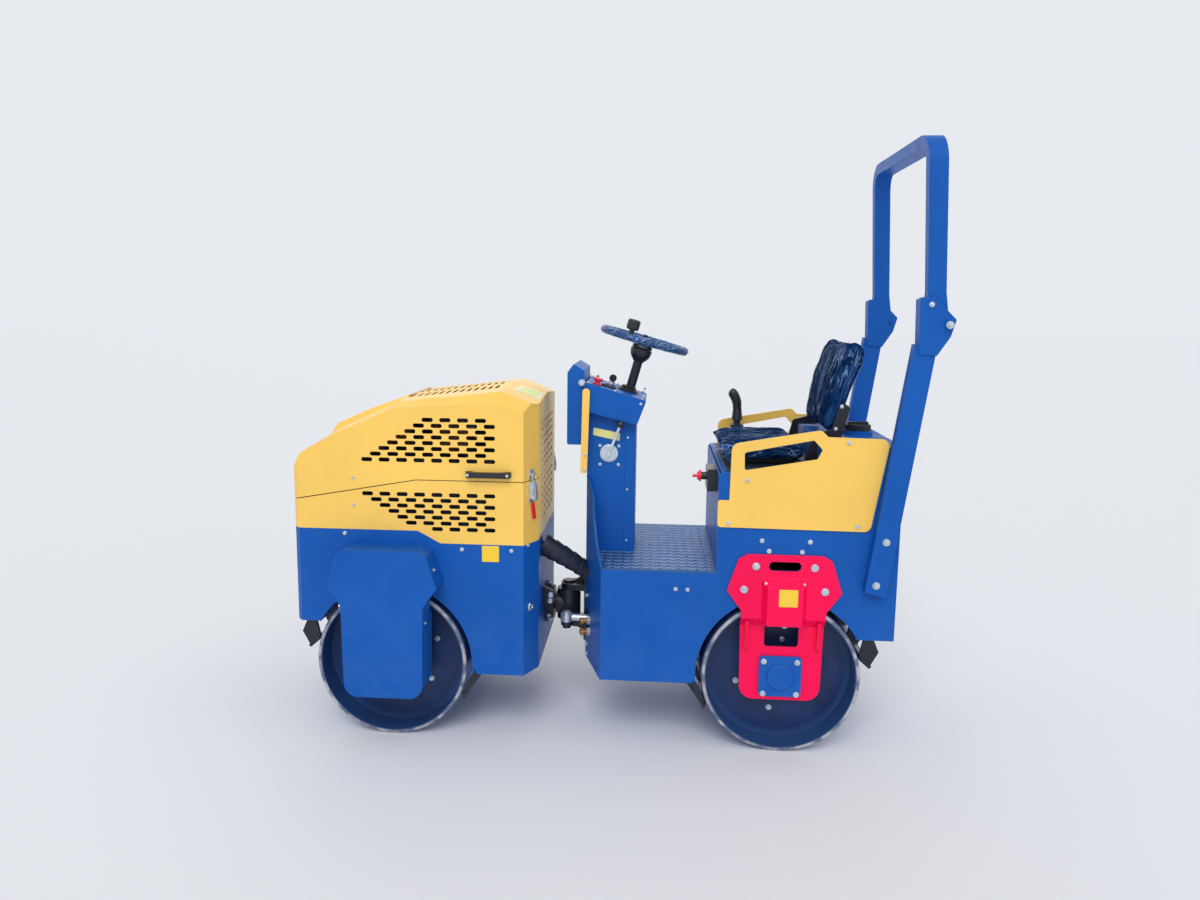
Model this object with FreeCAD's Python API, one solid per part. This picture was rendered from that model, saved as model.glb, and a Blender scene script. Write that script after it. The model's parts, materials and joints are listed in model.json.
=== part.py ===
import FreeCAD, Part

import math
import os

Vector = FreeCAD.Vector

# A ride-on tandem road roller. Lengths are millimetres and angles degrees.
# X runs from the engine end to the seat end, Y across the machine, Z up from the ground.
# Shapes are drawn from the rear drum's axle, X = 0, and shifted when they are saved, so that
# the origin lies on the ground under the middle of the whole machine.

# Body width, which the drums fill up to a small gap on each side
body_half_width = 356.0
beyond_side = body_half_width + 45.0

# Drums
wheelbase = 1415.0
drum_radius = 280.0
drum_side_gap = 6.0
drum_width = 2.0 * (body_half_width - drum_side_gap)
drum_shell = 16.0
drum_rim_chamfer = 5.0
web_recess = 100.0
web_thickness = 12.0
hub_boss_radius = 95.0
hub_boss_length = 48.0
axle_radius = 30.0
axle_clearance = 0.05
front_axle_x = -wheelbase
rear_axle_x = 0.0
axle_height = drum_radius

# Sheet
sheet = 6.0
hood_sheet = 4.0
arch_gap = 22.0
arch_radius = drum_radius + arch_gap
fit_gap = 0.3

# Front module, with the engine
front_end_x = -1767.0
front_corner = 20.0
front_side_end_x = -924.0
front_back_x = -880.0
front_back_half_width = 262.0
front_nose_floor_z = axle_height + 149.0
front_tub_floor_z = axle_height - 32.0
front_tub_lip_x = front_axle_x + drum_radius + 40.0
lower_hood_front_z = 780.0
lower_hood_back_z = 736.0
lower_hood_step_x = (-1307.0, -1226.0)
hood_seam_front_z = 885.0
hood_seam_back_z = 966.0
hood_seam_break_x = -1311.0
hood_seam_gap = 3.0

# Rear module, with the floor and the seat
rear_end_x = 386.0
tub_front_x = -645.0
tub_nose_x = -716.0
tub_nose_half_width = 110.0
tub_floor_z = axle_height - 34.0
tub_lip_x = rear_axle_x - drum_radius - 34.0
deck_z = 663.0
floor_plate_thickness = 6.0
seat_box_front_x = -238.0
seat_box_back_x = 128.0
seat_box_top_z = 1020.0
tank_top_z = 1118.0
seat_half_width = body_half_width - 131.0
seat_base_top_z = 1045.7
rear_floor_z = axle_height + 151.0

# Yoke plates that carry the drums: the foot follows the axle, the head follows the body
yoke_thickness = 10.0
yoke_top_z = 732.0
yoke_bottom_z = axle_height - 90.0
yoke_top_half = 131.0
yoke_shoulder_half = 162.0
yoke_shoulder_z = 714.0
yoke_wide_half = 199.0
yoke_wide_z = 599.0
yoke_waist_half = 148.0
yoke_waist_z = axle_height + 248.0
yoke_foot_half = 142.0
yoke_foot_radius = 50.0
yoke_joggle = 30.0
yoke_joggle_top_z = axle_height + 220.0
yoke_joggle_bottom_z = axle_height + 185.0
lift_slot_length = 112.0
lift_slot_height = 34.0
lift_slot_z = 691.0
yoke_window_half = 60.0
yoke_window_z = (axle_height + 108.0, axle_height + 204.0)
bulge_height = 32.0
bulge_half = (80.0, 60.0)
bulge_z = (yoke_window_z[1], 650.0, 620.0)
hub_plate_size = 150.0
hub_plate_thickness = 9.0
hub_cap_radius = 50.0
hub_cap_height = 9.0

# Motor guard, a flanged cover over the drum motor
guard_depth = 104.0
guard_sheet = 4.0
motor_radius = 62.0
motor_length = 88.0

# Articulation between the two modules
pivot_x = -790.0
pivot_z = 420.0
pivot_pin_radius = 22.0
pivot_pin_clearance = 0.05
lug_thickness = 22.0
lug_half_gap = 62.0
lug_half_width = 58.0
lug_mount_half_width = 64.0
knuckle_radius = 46.0
knuckle_lug_gap = 1.0
roll_shaft_radius = 30.0
roll_housing_radius = 66.0
roll_housing_length = 34.0

# Steering cylinder, beside the pivot on the near side
steer_arm = 96.0
steer_arm_thickness = 14.0
steer_anchor_x = -420.0
steer_barrel_radius = 27.0
steer_rod_radius = 14.0
steer_rod_clearance = 0.05
steer_barrel_length = 236.0
steer_eye_radius = 24.0
steer_eye_height = 30.0
steer_pin_radius = 10.0
steer_arm_z = pivot_z - lug_half_gap + 1.5
steer_z = steer_arm_z + steer_arm_thickness + 0.5 + steer_eye_height / 2.0

# Steering column and wheel
wheel_centre_x = -510.0
wheel_centre_z = 1461.0
wheel_tilt = 15.4
wheel_radius = 170.0
wheel_rim_radius = 13.0
column_radius = 17.5
column_length = 190.0
column_boss_radius = 40.0
column_boss_length = 44.0

# Console post
post_back_x = -534.0
post_top_z = 1235.0
console_half_width = 160.0
handle_y = 168.0

# Roll bar
rops_tube_depth = 40.0
rops_inner_y = body_half_width
rops_pivot_x = 488.0
beyond_rops = rops_inner_y + rops_tube_depth + 54.0
rops_pin_radius = 8.0
rops_pin_clearance = 0.05
rops_pivot_z = 1534.0
rops_top_z = 2150.0
rops_bend_radius = 95.0
hoop_tube_width = 62.0

# Hood hinges on the outer face of the front wall
hood_hinge_y = 215.0
hood_hinge_length = 64.0
hood_hinge_radius = 7.0
hood_hinge_pin_radius = 4.0
hood_hinge_leaf = 3.0
hood_hinge_leaf_height = 34.0
hood_hinge_x = front_end_x - hood_hinge_radius
hood_hinge_z = hood_seam_front_z

overall_min_x = hood_hinge_x - hood_hinge_radius
overall_max_x = 512.0
shift_x = -(overall_min_x + overall_max_x) / 2.0

SIDES = (-1, 1)


# Outlines and solids

def flat_face(points, place):
    """Face from corners (a, b) or rounded corners (a, b, radius), placed by place(a, b)."""
    edges = []
    count = len(points)
    starts = []
    ends = []
    middles = []
    for index, corner in enumerate(points):
        a, b = corner[0], corner[1]
        radius = corner[2] if len(corner) > 2 else 0.0
        before = points[index - 1]
        after = points[(index + 1) % count]
        to_before = Vector(before[0] - a, before[1] - b, 0).normalize()
        to_after = Vector(after[0] - a, after[1] - b, 0).normalize()
        here = Vector(a, b, 0)
        if radius <= 0.0:
            starts.append(here)
            ends.append(here)
            middles.append(None)
            continue
        half = to_before.getAngle(to_after) / 2.0
        reach = radius / math.tan(half)
        centre = here + (to_before + to_after).normalize() * (radius / math.sin(half))
        starts.append(here + to_before * reach)
        ends.append(here + to_after * reach)
        middles.append(centre + (here - centre).normalize() * radius)
    for index in range(count):
        if middles[index] is not None:
            arc = Part.Arc(
                place(starts[index]), place(middles[index]), place(ends[index])
            )
            edges.append(arc.toShape())
        run_start = ends[index]
        run_end = starts[(index + 1) % count]
        if (run_end - run_start).Length > 1e-6:
            edges.append(Part.makeLine(place(run_start), place(run_end)))
    return Part.Face(Part.Wire(edges))


def prism_xz(points, y0, y1):
    """Outline in X and Z, extruded across the machine from y0 to y1."""
    face = flat_face(points, lambda p: Vector(p.x, y0, p.y))
    return face.extrude(Vector(0, y1 - y0, 0))


def prism_xy(points, z0, z1):
    """Plan outline in X and Y, extruded upwards from z0 to z1."""
    face = flat_face(points, lambda p: Vector(p.x, p.y, z0))
    return face.extrude(Vector(0, 0, z1 - z0))


def prism_yz(points, x0, x1):
    """Cross-section in Y and Z, extruded along the machine from x0 to x1."""
    face = flat_face(points, lambda p: Vector(x0, p.x, p.y))
    return face.extrude(Vector(x1 - x0, 0, 0))


def block(x0, x1, y0, y1, z0, z1):
    return Part.makeBox(x1 - x0, y1 - y0, z1 - z0, Vector(x0, y0, z0))


def rod_x(radius, x0, x1, y, z):
    return Part.makeCylinder(radius, x1 - x0, Vector(x0, y, z), Vector(1, 0, 0))


def rod_y(radius, x, y0, y1, z):
    return Part.makeCylinder(radius, y1 - y0, Vector(x, y0, z), Vector(0, 1, 0))


def rod_z(radius, x, y, z0, z1):
    return Part.makeCylinder(radius, z1 - z0, Vector(x, y, z0))


def mirrored(shape):
    """The same shape on the other side of the machine."""
    return shape.mirror(Vector(0, 0, 0), Vector(0, 1, 0))


def on_side(shape, side):
    """A shape drawn for the near side, -1, kept or mirrored to the far side, 1."""
    return shape if side < 0 else mirrored(shape)


def joined(shapes):
    first = shapes[0]
    whole = first.multiFuse(shapes[1:]) if len(shapes) > 1 else first
    return whole.removeSplitter()


def save(name, shape):
    moved = shape.copy()
    moved.translate(Vector(shift_x, 0, 0))
    solids = moved.Solids
    result = solids[0] if len(solids) == 1 else Part.makeCompound(solids)
    result.exportStep(os.path.join("parts", name + ".step"))


# Drums

def drum(axle_x):
    """Rolled shell with recessed webs and a bored boss on each side, turned about Y."""
    half = drum_width / 2.0
    web = half - web_recess
    bore = axle_radius + axle_clearance
    inner = drum_radius - drum_shell
    shell = [
        (-half, inner),
        (-half, drum_radius - drum_rim_chamfer),
        (-half + drum_rim_chamfer, drum_radius),
        (half - drum_rim_chamfer, drum_radius),
        (half, drum_radius - drum_rim_chamfer),
        (half, inner),
        (web, inner),
        (web, hub_boss_radius),
        (web + hub_boss_length, hub_boss_radius - 8.0),
        (web + hub_boss_length, bore),
        (web - web_thickness, bore),
        (web - web_thickness, inner),
        (-web + web_thickness, inner),
        (-web + web_thickness, bore),
        (-web - hub_boss_length, bore),
        (-web - hub_boss_length, hub_boss_radius - 8.0),
        (-web, hub_boss_radius),
        (-web, inner),
    ]
    face = flat_face(
        shell, lambda p: Vector(axle_x, p.x, axle_height + p.y)
    )
    return face.revolve(Vector(axle_x, 0, axle_height), Vector(0, 1, 0), 360)


# Yokes, guards and drum motors, drawn on the near side

def yoke_outline(axle_x, grow=0.0):
    """Outline of the yoke plate, wide at the shoulders and narrow at the foot."""
    right = [
        (yoke_foot_half, yoke_bottom_z, yoke_foot_radius),
        (yoke_waist_half, yoke_waist_z),
        (yoke_wide_half, yoke_wide_z),
        (yoke_shoulder_half, yoke_shoulder_z),
        (yoke_top_half, yoke_top_z),
    ]
    points = []
    for corner in right:
        points.append((axle_x + corner[0] + grow,) + corner[1:])
    for corner in reversed(right):
        points.append((axle_x - corner[0] - grow,) + corner[1:])
    return points


def yoke_plate(axle_x):
    """Joggled plate: bolted outside the body above, stepped into the drum below."""
    outer = -body_half_width - yoke_thickness
    section = [
        (outer, yoke_top_z + 1.0),
        (outer, yoke_joggle_top_z),
        (outer + yoke_joggle, yoke_joggle_bottom_z),
        (outer + yoke_joggle, yoke_bottom_z - 1.0),
        (outer + yoke_joggle + yoke_thickness, yoke_bottom_z - 1.0),
        (outer + yoke_joggle + yoke_thickness, yoke_joggle_bottom_z),
        (outer + yoke_thickness, yoke_joggle_top_z),
        (outer + yoke_thickness, yoke_top_z + 1.0),
    ]
    strip = prism_yz(section, axle_x - yoke_wide_half - 1.0, axle_x + yoke_wide_half + 1.0)
    outline = prism_xz(yoke_outline(axle_x), outer - 1.0, outer + 90.0)
    return strip.common(outline)


def stub_axle(axle_x):
    """Short shaft from the foot of the yoke into the boss of the drum."""
    foot_inner = -body_half_width + yoke_joggle
    web = -(drum_width / 2.0 - web_recess)
    return rod_y(axle_radius, axle_x, foot_inner, web - 2.0, axle_height)


def lift_slot_hole(axle_x, y0, y1):
    """Round-ended slot for a lifting hook, through the yoke and the body behind it."""
    half_length = lift_slot_length / 2.0
    half_height = lift_slot_height / 2.0
    radius = half_height - 0.5
    return prism_xz(
        [
            (axle_x - half_length, lift_slot_z - half_height, radius),
            (axle_x + half_length, lift_slot_z - half_height, radius),
            (axle_x + half_length, lift_slot_z + half_height, radius),
            (axle_x - half_length, lift_slot_z + half_height, radius),
        ],
        y0,
        y1,
    )


def lifting_yoke(axle_x):
    """Red yoke with the lifting slot, the window and the pressed cover above it."""
    outer = -body_half_width - yoke_thickness
    low_z, high_z, face_high_z = bulge_z
    base_half, face_half = bulge_half
    slot = lift_slot_hole(axle_x, outer - 5.0, outer + yoke_thickness + 5.0)
    window = prism_xz(
        [
            (axle_x - yoke_window_half, yoke_window_z[0], 12.0),
            (axle_x + yoke_window_half, yoke_window_z[0], 12.0),
            (axle_x + yoke_window_half, yoke_window_z[1]),
            (axle_x - yoke_window_half, yoke_window_z[1]),
        ],
        outer - 5.0,
        outer + yoke_joggle + yoke_thickness + 5.0,
    )

    def cover(inset):
        wires = []
        for half, top, y in (
            (base_half, high_z, outer + 2.0),
            (face_half, face_high_z, outer - bulge_height + inset),
        ):
            corners = [
                Vector(axle_x - half + inset, y, low_z - inset),
                Vector(axle_x + half - inset, y, low_z - inset),
                Vector(axle_x + half - inset, y, top - inset),
                Vector(axle_x - half + inset, y, top - inset),
            ]
            wires.append(Part.makePolygon(corners + corners[:1]))
        return Part.makeLoft(wires, True, True)

    gussets = []
    for side in SIDES:
        x = axle_x + side * (yoke_waist_half - 22.0)
        gussets.append(
            prism_yz(
                [
                    (outer - 2.0, yoke_joggle_top_z - 12.0),
                    (outer + yoke_joggle + 1.0, yoke_joggle_bottom_z - 4.0),
                    (outer + yoke_joggle + 1.0, yoke_joggle_bottom_z - 92.0),
                    (outer + 10.0, yoke_joggle_bottom_z - 78.0),
                ],
                x - 5.0,
                x + 5.0,
            )
        )
    plate = yoke_plate(axle_x).cut(slot).cut(window)
    pressed = cover(0.0).cut(cover(4.0)).cut(
        block(axle_x - 120, axle_x + 120, outer, outer + 20.0, low_z - 20, high_z + 20)
    )
    return joined([plate, pressed, stub_axle(axle_x)] + gussets)


def hub_plate(axle_x):
    """Square plate with a round cap over the stub axle, on the foot of the yoke."""
    face = -body_half_width - yoke_thickness + yoke_joggle
    half = hub_plate_size / 2.0
    square = prism_xz(
        [
            (axle_x - half, axle_height - half, 14.0),
            (axle_x + half, axle_height - half, 14.0),
            (axle_x + half, axle_height + half, 14.0),
            (axle_x - half, axle_height + half, 14.0),
        ],
        face - hub_plate_thickness,
        face,
    )
    back = face - hub_plate_thickness
    cap = Part.makeCone(
        hub_cap_radius - 4.0,
        hub_cap_radius,
        hub_cap_height,
        Vector(axle_x, back - hub_cap_height, axle_height),
        Vector(0, 1, 0),
    )
    return joined([square, cap])


def drive_yoke(axle_x):
    """Blue yoke on the driven side, without the lifting slot and the window."""
    return joined([yoke_plate(axle_x), stub_axle(axle_x)])


def motor_guard(axle_x):
    """Folded cover with the yoke's outline, open towards the drum."""
    outer = -body_half_width - yoke_thickness
    shell = prism_xz(yoke_outline(axle_x), outer - guard_depth, outer)
    inner = prism_xz(
        [
            (
                axle_x + (point[0] - axle_x) * (1.0 - guard_sheet / yoke_foot_half),
                axle_height + 160.0
                + (point[1] - axle_height - 160.0) * (1.0 - guard_sheet / 240.0),
            )
            + point[2:]
            for point in yoke_outline(axle_x)
        ],
        outer - guard_depth + guard_sheet,
        outer + 1.0,
    )
    return shell.cut(inner)


def drum_motor(axle_x):
    """Hydraulic motor on the outer face of the drive yoke, with its two ports."""
    face = -body_half_width - yoke_thickness + yoke_joggle
    body = rod_y(motor_radius, axle_x, face - motor_length, face, axle_height)
    flange = prism_xz(
        [
            (axle_x - 70.0, axle_height - 70.0, 24.0),
            (axle_x + 70.0, axle_height - 70.0, 24.0),
            (axle_x + 70.0, axle_height + 70.0, 24.0),
            (axle_x - 70.0, axle_height + 70.0, 24.0),
        ],
        face - 16.0,
        face,
    )
    ports = [
        rod_z(11.0, axle_x + dx, face - motor_length + 26.0, axle_height, axle_height + 92.0)
        for dx in (-24.0, 24.0)
    ]
    return joined([body, flange] + ports)


# Front module

def front_plan(inset):
    """Plan outline of the engine module with its chamfered corners."""
    half = body_half_width - inset
    back_half = front_back_half_width - inset * 0.6
    front = front_end_x + inset
    back = front_back_x - inset
    corner = front_corner
    return [
        (front + corner, -half),
        (front_side_end_x - inset * 0.6, -half),
        (back, -back_half),
        (back, back_half),
        (front_side_end_x - inset * 0.6, half),
        (front + corner, half),
        (front, half - corner),
        (front, -half + corner),
    ]


def front_ring(thickness, z0, z1):
    """Standing wall round the plan outline of the engine module."""
    outer = prism_xy(front_plan(0.0), z0, z1)
    inner = prism_xy(front_plan(thickness), z0 - 1.0, z1 + 1.0)
    return outer.cut(inner)


def arch_reach(z):
    """Distance along X from an axle to its arch at the height z."""
    return math.sqrt(arch_radius ** 2 - (z - axle_height) ** 2)


def arch_sheet(axle_x, start_angle, end_angle):
    """Curved sheet over the drum between two angles measured from +X."""
    half = body_half_width - sheet
    ring = rod_y(arch_radius + sheet, axle_x, -half - 1.0, half + 1.0, axle_height).cut(
        rod_y(arch_radius, axle_x, -half - 2.0, half + 2.0, axle_height)
    )
    steps = 8
    sector = [(axle_x, axle_height)]
    for index in range(steps + 1):
        angle = math.radians(start_angle + (end_angle - start_angle) * index / steps)
        sector.append(
            (axle_x + 600.0 * math.cos(angle), axle_height + 600.0 * math.sin(angle))
        )
    return ring.common(prism_xz(sector, -half - 1.0, half + 1.0))


def front_chassis():
    """Welded tub of the engine module, open above and over the drum."""
    step_front, step_back = lower_hood_step_x
    nose_lip_x = front_axle_x - arch_reach(front_nose_floor_z)
    side = [
        (front_end_x - 1.0, lower_hood_front_z),
        (front_end_x - 1.0, front_nose_floor_z),
        (nose_lip_x - 3.0, front_nose_floor_z),
        (nose_lip_x + 37.0, front_nose_floor_z - 60.0),
        (front_axle_x, 150.0),
        (front_tub_lip_x - 18.0, axle_height),
        (front_tub_lip_x, front_tub_floor_z),
        (front_back_x + 1.0, front_tub_floor_z),
        (front_back_x + 1.0, lower_hood_back_z),
        (step_back, lower_hood_back_z),
        (step_front, lower_hood_front_z),
    ]
    outline = prism_xz(side, -beyond_side, beyond_side).cut(
        rod_y(arch_radius, front_axle_x, -beyond_side - 1.0, beyond_side + 1.0, axle_height)
    )
    walls = front_ring(sheet, 150.0, lower_hood_front_z + 20.0).common(outline)
    inner_half = body_half_width - sheet
    plan = prism_xy(front_plan(sheet * 0.5), 0.0, 900.0)
    plates = [
        block(front_end_x, nose_lip_x + 1.0, -inner_half, inner_half,
              front_nose_floor_z, front_nose_floor_z + sheet),
        block(front_tub_lip_x, front_back_x, -inner_half, inner_half,
              front_tub_floor_z, front_tub_floor_z + sheet),
    ]
    plates = [plate.common(plan) for plate in plates]
    arch = arch_sheet(front_axle_x, -6.0, 151.0)
    shaft_hole = rod_x(roll_shaft_radius + 8.0, front_back_x - 60.0, front_back_x + 10.0, 0.0, pivot_z)
    hook_room = mirrored(
        lift_slot_hole(front_axle_x, -body_half_width - 1.0, -body_half_width + sheet + 1.0)
    )
    return joined([walls, arch] + plates).cut(shaft_hole).cut(hook_room)


def seam_profile(top, bottom):
    """Side outline of the fixed lower hood, between the tub and the slanted seam."""
    step_front, step_back = lower_hood_step_x
    return [
        (front_end_x - 1.0, lower_hood_front_z + bottom),
        (step_front, lower_hood_front_z + bottom),
        (step_back, lower_hood_back_z + bottom),
        (front_back_x + 1.0, lower_hood_back_z + bottom),
        (front_back_x + 1.0, hood_seam_back_z - top),
        (hood_seam_break_x, hood_seam_back_z - top),
        (front_end_x - 1.0, hood_seam_front_z - top),
    ]


def lower_hood():
    """Fixed yellow band of the engine hood, folded round the module."""
    outline = prism_xz(seam_profile(hood_seam_gap / 2.0, 0.0), -beyond_side, beyond_side)
    walls = front_ring(hood_sheet, lower_hood_back_z - 20.0, hood_seam_back_z + 20.0).common(outline)
    return walls.cut(lower_side_slots()).cut(rear_slots(lower_rear_rows))


# Cross-sections of the tilting hood: X, height of the side, of the bevel and of the crown.
hood_bevel_half = 311.0
hood_sections = (
    (front_end_x, 1000.0, 1004.0, 1006.0),
    (front_end_x + 31.0, 1054.0, 1060.0, 1066.0),
    (front_end_x + 160.0, 1127.0, 1136.0, 1144.0),
    (front_end_x + 381.0, 1224.0, 1242.0, 1252.0),
    (front_side_end_x - 85.0, 1246.0, 1284.0, 1298.0),
    (front_side_end_x, 1212.0, 1252.0, 1276.0),
    (front_back_x, 1196.0, 1234.0, 1258.0),
)
bulge_sections = (
    # X, half width at the foot, half width at the top, height of the top
    (front_end_x + 79.0, 172.0, 150.0, 1102.0),
    (front_end_x + 103.0, 179.0, 152.0, 1139.0),
    (front_end_x + 243.0, 190.0, 162.0, 1202.0),
    (front_end_x + 387.0, 196.0, 170.0, 1254.0),
)

# Perforated grilles of the hood: round-ended slots in rows, every other row shifted by half a pitch
slot_length = 40.0
slot_height = 15.0
slot_pitch = 63.5
slot_row_pitch = 20.8
side_grille_back_x = -1045.0
upper_side_rows = (
    # slots in the row, rows shifted forward by half a pitch; from the top row down
    (4, True), (5, False), (5, True), (6, False), (6, True), (7, False), (7, True), (8, False),
)
upper_side_top_z = 1183.0
lower_side_rows = ((8, False), (7, True), (7, False), (6, True), (6, False), (5, True), (4, False))
lower_side_top_z = 913.0
rear_slot_columns = 5
rear_slot_pitch = 77.5
rear_row_pitch = 28.4
upper_rear_rows = (1160.0, 7)
lower_rear_rows = (941.0, 6)
top_slot_length = 106.0
top_slot_width = 13.0
top_slot_rows = 13
top_slot_pitch = 26.5
top_slot_column_pitch = 140.0
top_grille_back_x = -1050.0


def round_ended(a, b, length, height):
    """Eight corners of a round-ended slot about (a, b), longer along a where length is the larger."""
    half_a, half_b = length / 2.0, height / 2.0
    end = min(half_a, half_b)
    cut = end * (1.0 - math.tan(math.radians(22.5)))
    return [
        (a + half_a, b - half_b + cut), (a + half_a, b + half_b - cut),
        (a + half_a - cut, b + half_b), (a - half_a + cut, b + half_b),
        (a - half_a, b + half_b - cut), (a - half_a, b - half_b + cut),
        (a - half_a + cut, b - half_b), (a + half_a - cut, b - half_b),
    ]


def side_slots(rows, top_z):
    """Cutting solids of a side grille on both sides of the hood."""
    half_in = body_half_width - 3.0 * hood_sheet
    half_out = body_half_width + hood_sheet
    slots = []
    for row, (count, shifted) in enumerate(rows):
        z = top_z - row * slot_row_pitch
        last_x = side_grille_back_x - (slot_pitch / 2.0 if shifted else 0.0)
        for place in range(count):
            corners = round_ended(last_x - place * slot_pitch, z, slot_length, slot_height)
            slots.append(prism_xz(corners, -half_out, -half_in))
            slots.append(prism_xz(corners, half_in, half_out))
    return Part.makeCompound(slots)


def upper_side_slots():
    return side_slots(upper_side_rows, upper_side_top_z)


def lower_side_slots():
    return side_slots(lower_side_rows, lower_side_top_z)


def rear_slots(rows):
    """Cutting solids of the grille in the back wall of the hood."""
    top_z, count = rows
    slots = []
    for row in range(count):
        for column in range(rear_slot_columns):
            y = (column - (rear_slot_columns - 1) / 2.0) * rear_slot_pitch
            corners = round_ended(y, top_z - row * rear_row_pitch, slot_length, slot_height)
            slots.append(prism_yz(corners, front_back_x - 3.0 * hood_sheet, front_back_x + hood_sheet))
    return Part.makeCompound(slots)


def top_slots():
    """Cutting solids of the three rows of cross slots in the roof of the hood."""
    slots = []
    for row in range(top_slot_rows):
        x = top_grille_back_x - row * top_slot_pitch
        for column in (-1, 0, 1):
            corners = round_ended(x, column * top_slot_column_pitch, top_slot_width, top_slot_length)
            slots.append(prism_xy(corners, 1225.0, 1320.0))
    return Part.makeCompound(slots)


def hood_body(inset):
    """Closed form of the hood, drawn smaller by the inset."""
    wires = []
    for x, side_z, bevel_z, crown_z in hood_sections:
        half = body_half_width - inset
        bevel = hood_bevel_half - inset * 0.4
        corners = [
            Vector(x, -half, 700.0),
            Vector(x, half, 700.0),
            Vector(x, half, side_z - inset * 0.5),
            Vector(x, bevel, bevel_z - inset),
            Vector(x, 0.0, crown_z - inset),
            Vector(x, -bevel, bevel_z - inset),
            Vector(x, -half, side_z - inset * 0.5),
        ]
        wires.append(Part.makePolygon(corners + corners[:1]))
    body = Part.makeLoft(wires, True, True)
    bulge_wires = []
    for x, foot_half, top_half, top_z in bulge_sections:
        corners = [
            Vector(x, -foot_half + inset, 800.0),
            Vector(x, foot_half - inset, 800.0),
            Vector(x, foot_half - inset, top_z - 40.0 - inset),
            Vector(x, top_half - inset, top_z - inset),
            Vector(x, -top_half + inset, top_z - inset),
            Vector(x, -foot_half + inset, top_z - 40.0 - inset),
        ]
        bulge_wires.append(Part.makePolygon(corners + corners[:1]))
    bulge = Part.makeLoft(bulge_wires, True, True)
    whole = body.fuse(bulge)
    return whole.common(prism_xy(front_plan(inset), 600.0, 1400.0))


def hood():
    """Tilting engine hood: a folded shell above the slanted seam."""
    above = prism_xz(
        [
            (front_end_x - 5.0, hood_seam_front_z + hood_seam_gap / 2.0),
            (hood_seam_break_x, hood_seam_back_z + hood_seam_gap / 2.0),
            (front_back_x + 5.0, hood_seam_back_z + hood_seam_gap / 2.0),
            (front_back_x + 5.0, 1400.0),
            (front_end_x - 5.0, 1400.0),
        ],
        -beyond_side,
        beyond_side,
    )
    shell = hood_body(0.0).cut(hood_body(hood_sheet)).common(above)
    return shell.cut(upper_side_slots()).cut(rear_slots(upper_rear_rows)).cut(top_slots())


handle_x = (-1131.0, -966.0)
handle_z = 993.0


def hood_hinge_fixed():
    """Lower leaves of the hood hinges with their outer knuckles and pins."""
    leaves = []
    knuckle_length = hood_hinge_length / 3.0
    for side in SIDES:
        y0 = side * hood_hinge_y - hood_hinge_length / 2.0
        y1 = y0 + hood_hinge_length
        leaf = block(
            front_end_x - hood_hinge_leaf, front_end_x, y0, y1,
            hood_hinge_z - hood_hinge_leaf_height, hood_hinge_z - 2.0,
        )
        ends = [
            rod_y(hood_hinge_radius, hood_hinge_x, y0, y0 + knuckle_length, hood_hinge_z),
            rod_y(hood_hinge_radius, hood_hinge_x, y1 - knuckle_length, y1, hood_hinge_z),
        ]
        pin = rod_y(hood_hinge_pin_radius, hood_hinge_x, y0, y1, hood_hinge_z)
        web = block(hood_hinge_x, front_end_x, y0, y1, hood_hinge_z - 8.0, hood_hinge_z - 2.0)
        centre_gap = rod_y(
            hood_hinge_radius + 1.0, hood_hinge_x, y0 + knuckle_length, y1 - knuckle_length, hood_hinge_z
        )
        leaves.append(joined([joined([leaf, web] + ends).cut(centre_gap), pin]))
    return Part.makeCompound(leaves)


def hood_hinge_leaves():
    """Upper leaves of the hood hinges with the middle knuckle, bored for the pin."""
    leaves = []
    knuckle_length = hood_hinge_length / 3.0
    for side in SIDES:
        y0 = side * hood_hinge_y - hood_hinge_length / 2.0 + knuckle_length + 0.5
        y1 = y0 + knuckle_length - 1.0
        leaf = block(
            front_end_x - hood_hinge_leaf, front_end_x,
            side * hood_hinge_y - hood_hinge_length / 2.0,
            side * hood_hinge_y + hood_hinge_length / 2.0,
            hood_hinge_z + hood_hinge_radius + 2.0, hood_hinge_z + hood_hinge_leaf_height,
        )
        barrel = rod_y(hood_hinge_radius, hood_hinge_x, y0, y1, hood_hinge_z)
        web = block(hood_hinge_x, front_end_x, y0, y1, hood_hinge_z + 3.0, hood_hinge_z + hood_hinge_radius + 4.0)
        bore = rod_y(hood_hinge_pin_radius + 0.05, hood_hinge_x, y0 - 1.0, y1 + 1.0, hood_hinge_z)
        leaves.append(joined([leaf, barrel, web]).cut(bore))
    return Part.makeCompound(leaves)


def hood_handles():
    """Bow handle on each side of the hood."""
    x0, x1 = handle_x
    bars = []
    for side in SIDES:
        bow = prism_xy(
            [
                (x0, -body_half_width, 4.0),
                (x0 + 6.0, -body_half_width - 30.0, 14.0),
                (x1 - 6.0, -body_half_width - 30.0, 14.0),
                (x1, -body_half_width, 4.0),
                (x1 - 26.0, -body_half_width, 4.0),
                (x1 - 32.0, -body_half_width - 16.0, 6.0),
                (x0 + 32.0, -body_half_width - 16.0, 6.0),
                (x0 + 26.0, -body_half_width, 4.0),
            ],
            handle_z - 10.0,
            handle_z + 10.0,
        )
        bars.append(on_side(bow, side))
    return Part.makeCompound(bars)


engine_half_width = 190.0


def engine_block():
    """Engine and pump as one plain block on the tub."""
    half = engine_half_width
    arch_top_z = axle_height + arch_radius + sheet
    casing = block(
        front_axle_x - 145.0, front_axle_x + 355.0, -half, half,
        arch_top_z - 48.0, arch_top_z + 422.0,
    )
    over_arch = rod_y(arch_radius + sheet + fit_gap, front_axle_x, -half - 10.0, half + 10.0, axle_height)
    return casing.cut(over_arch)


latch_z = (900.0, 1020.0)


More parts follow.
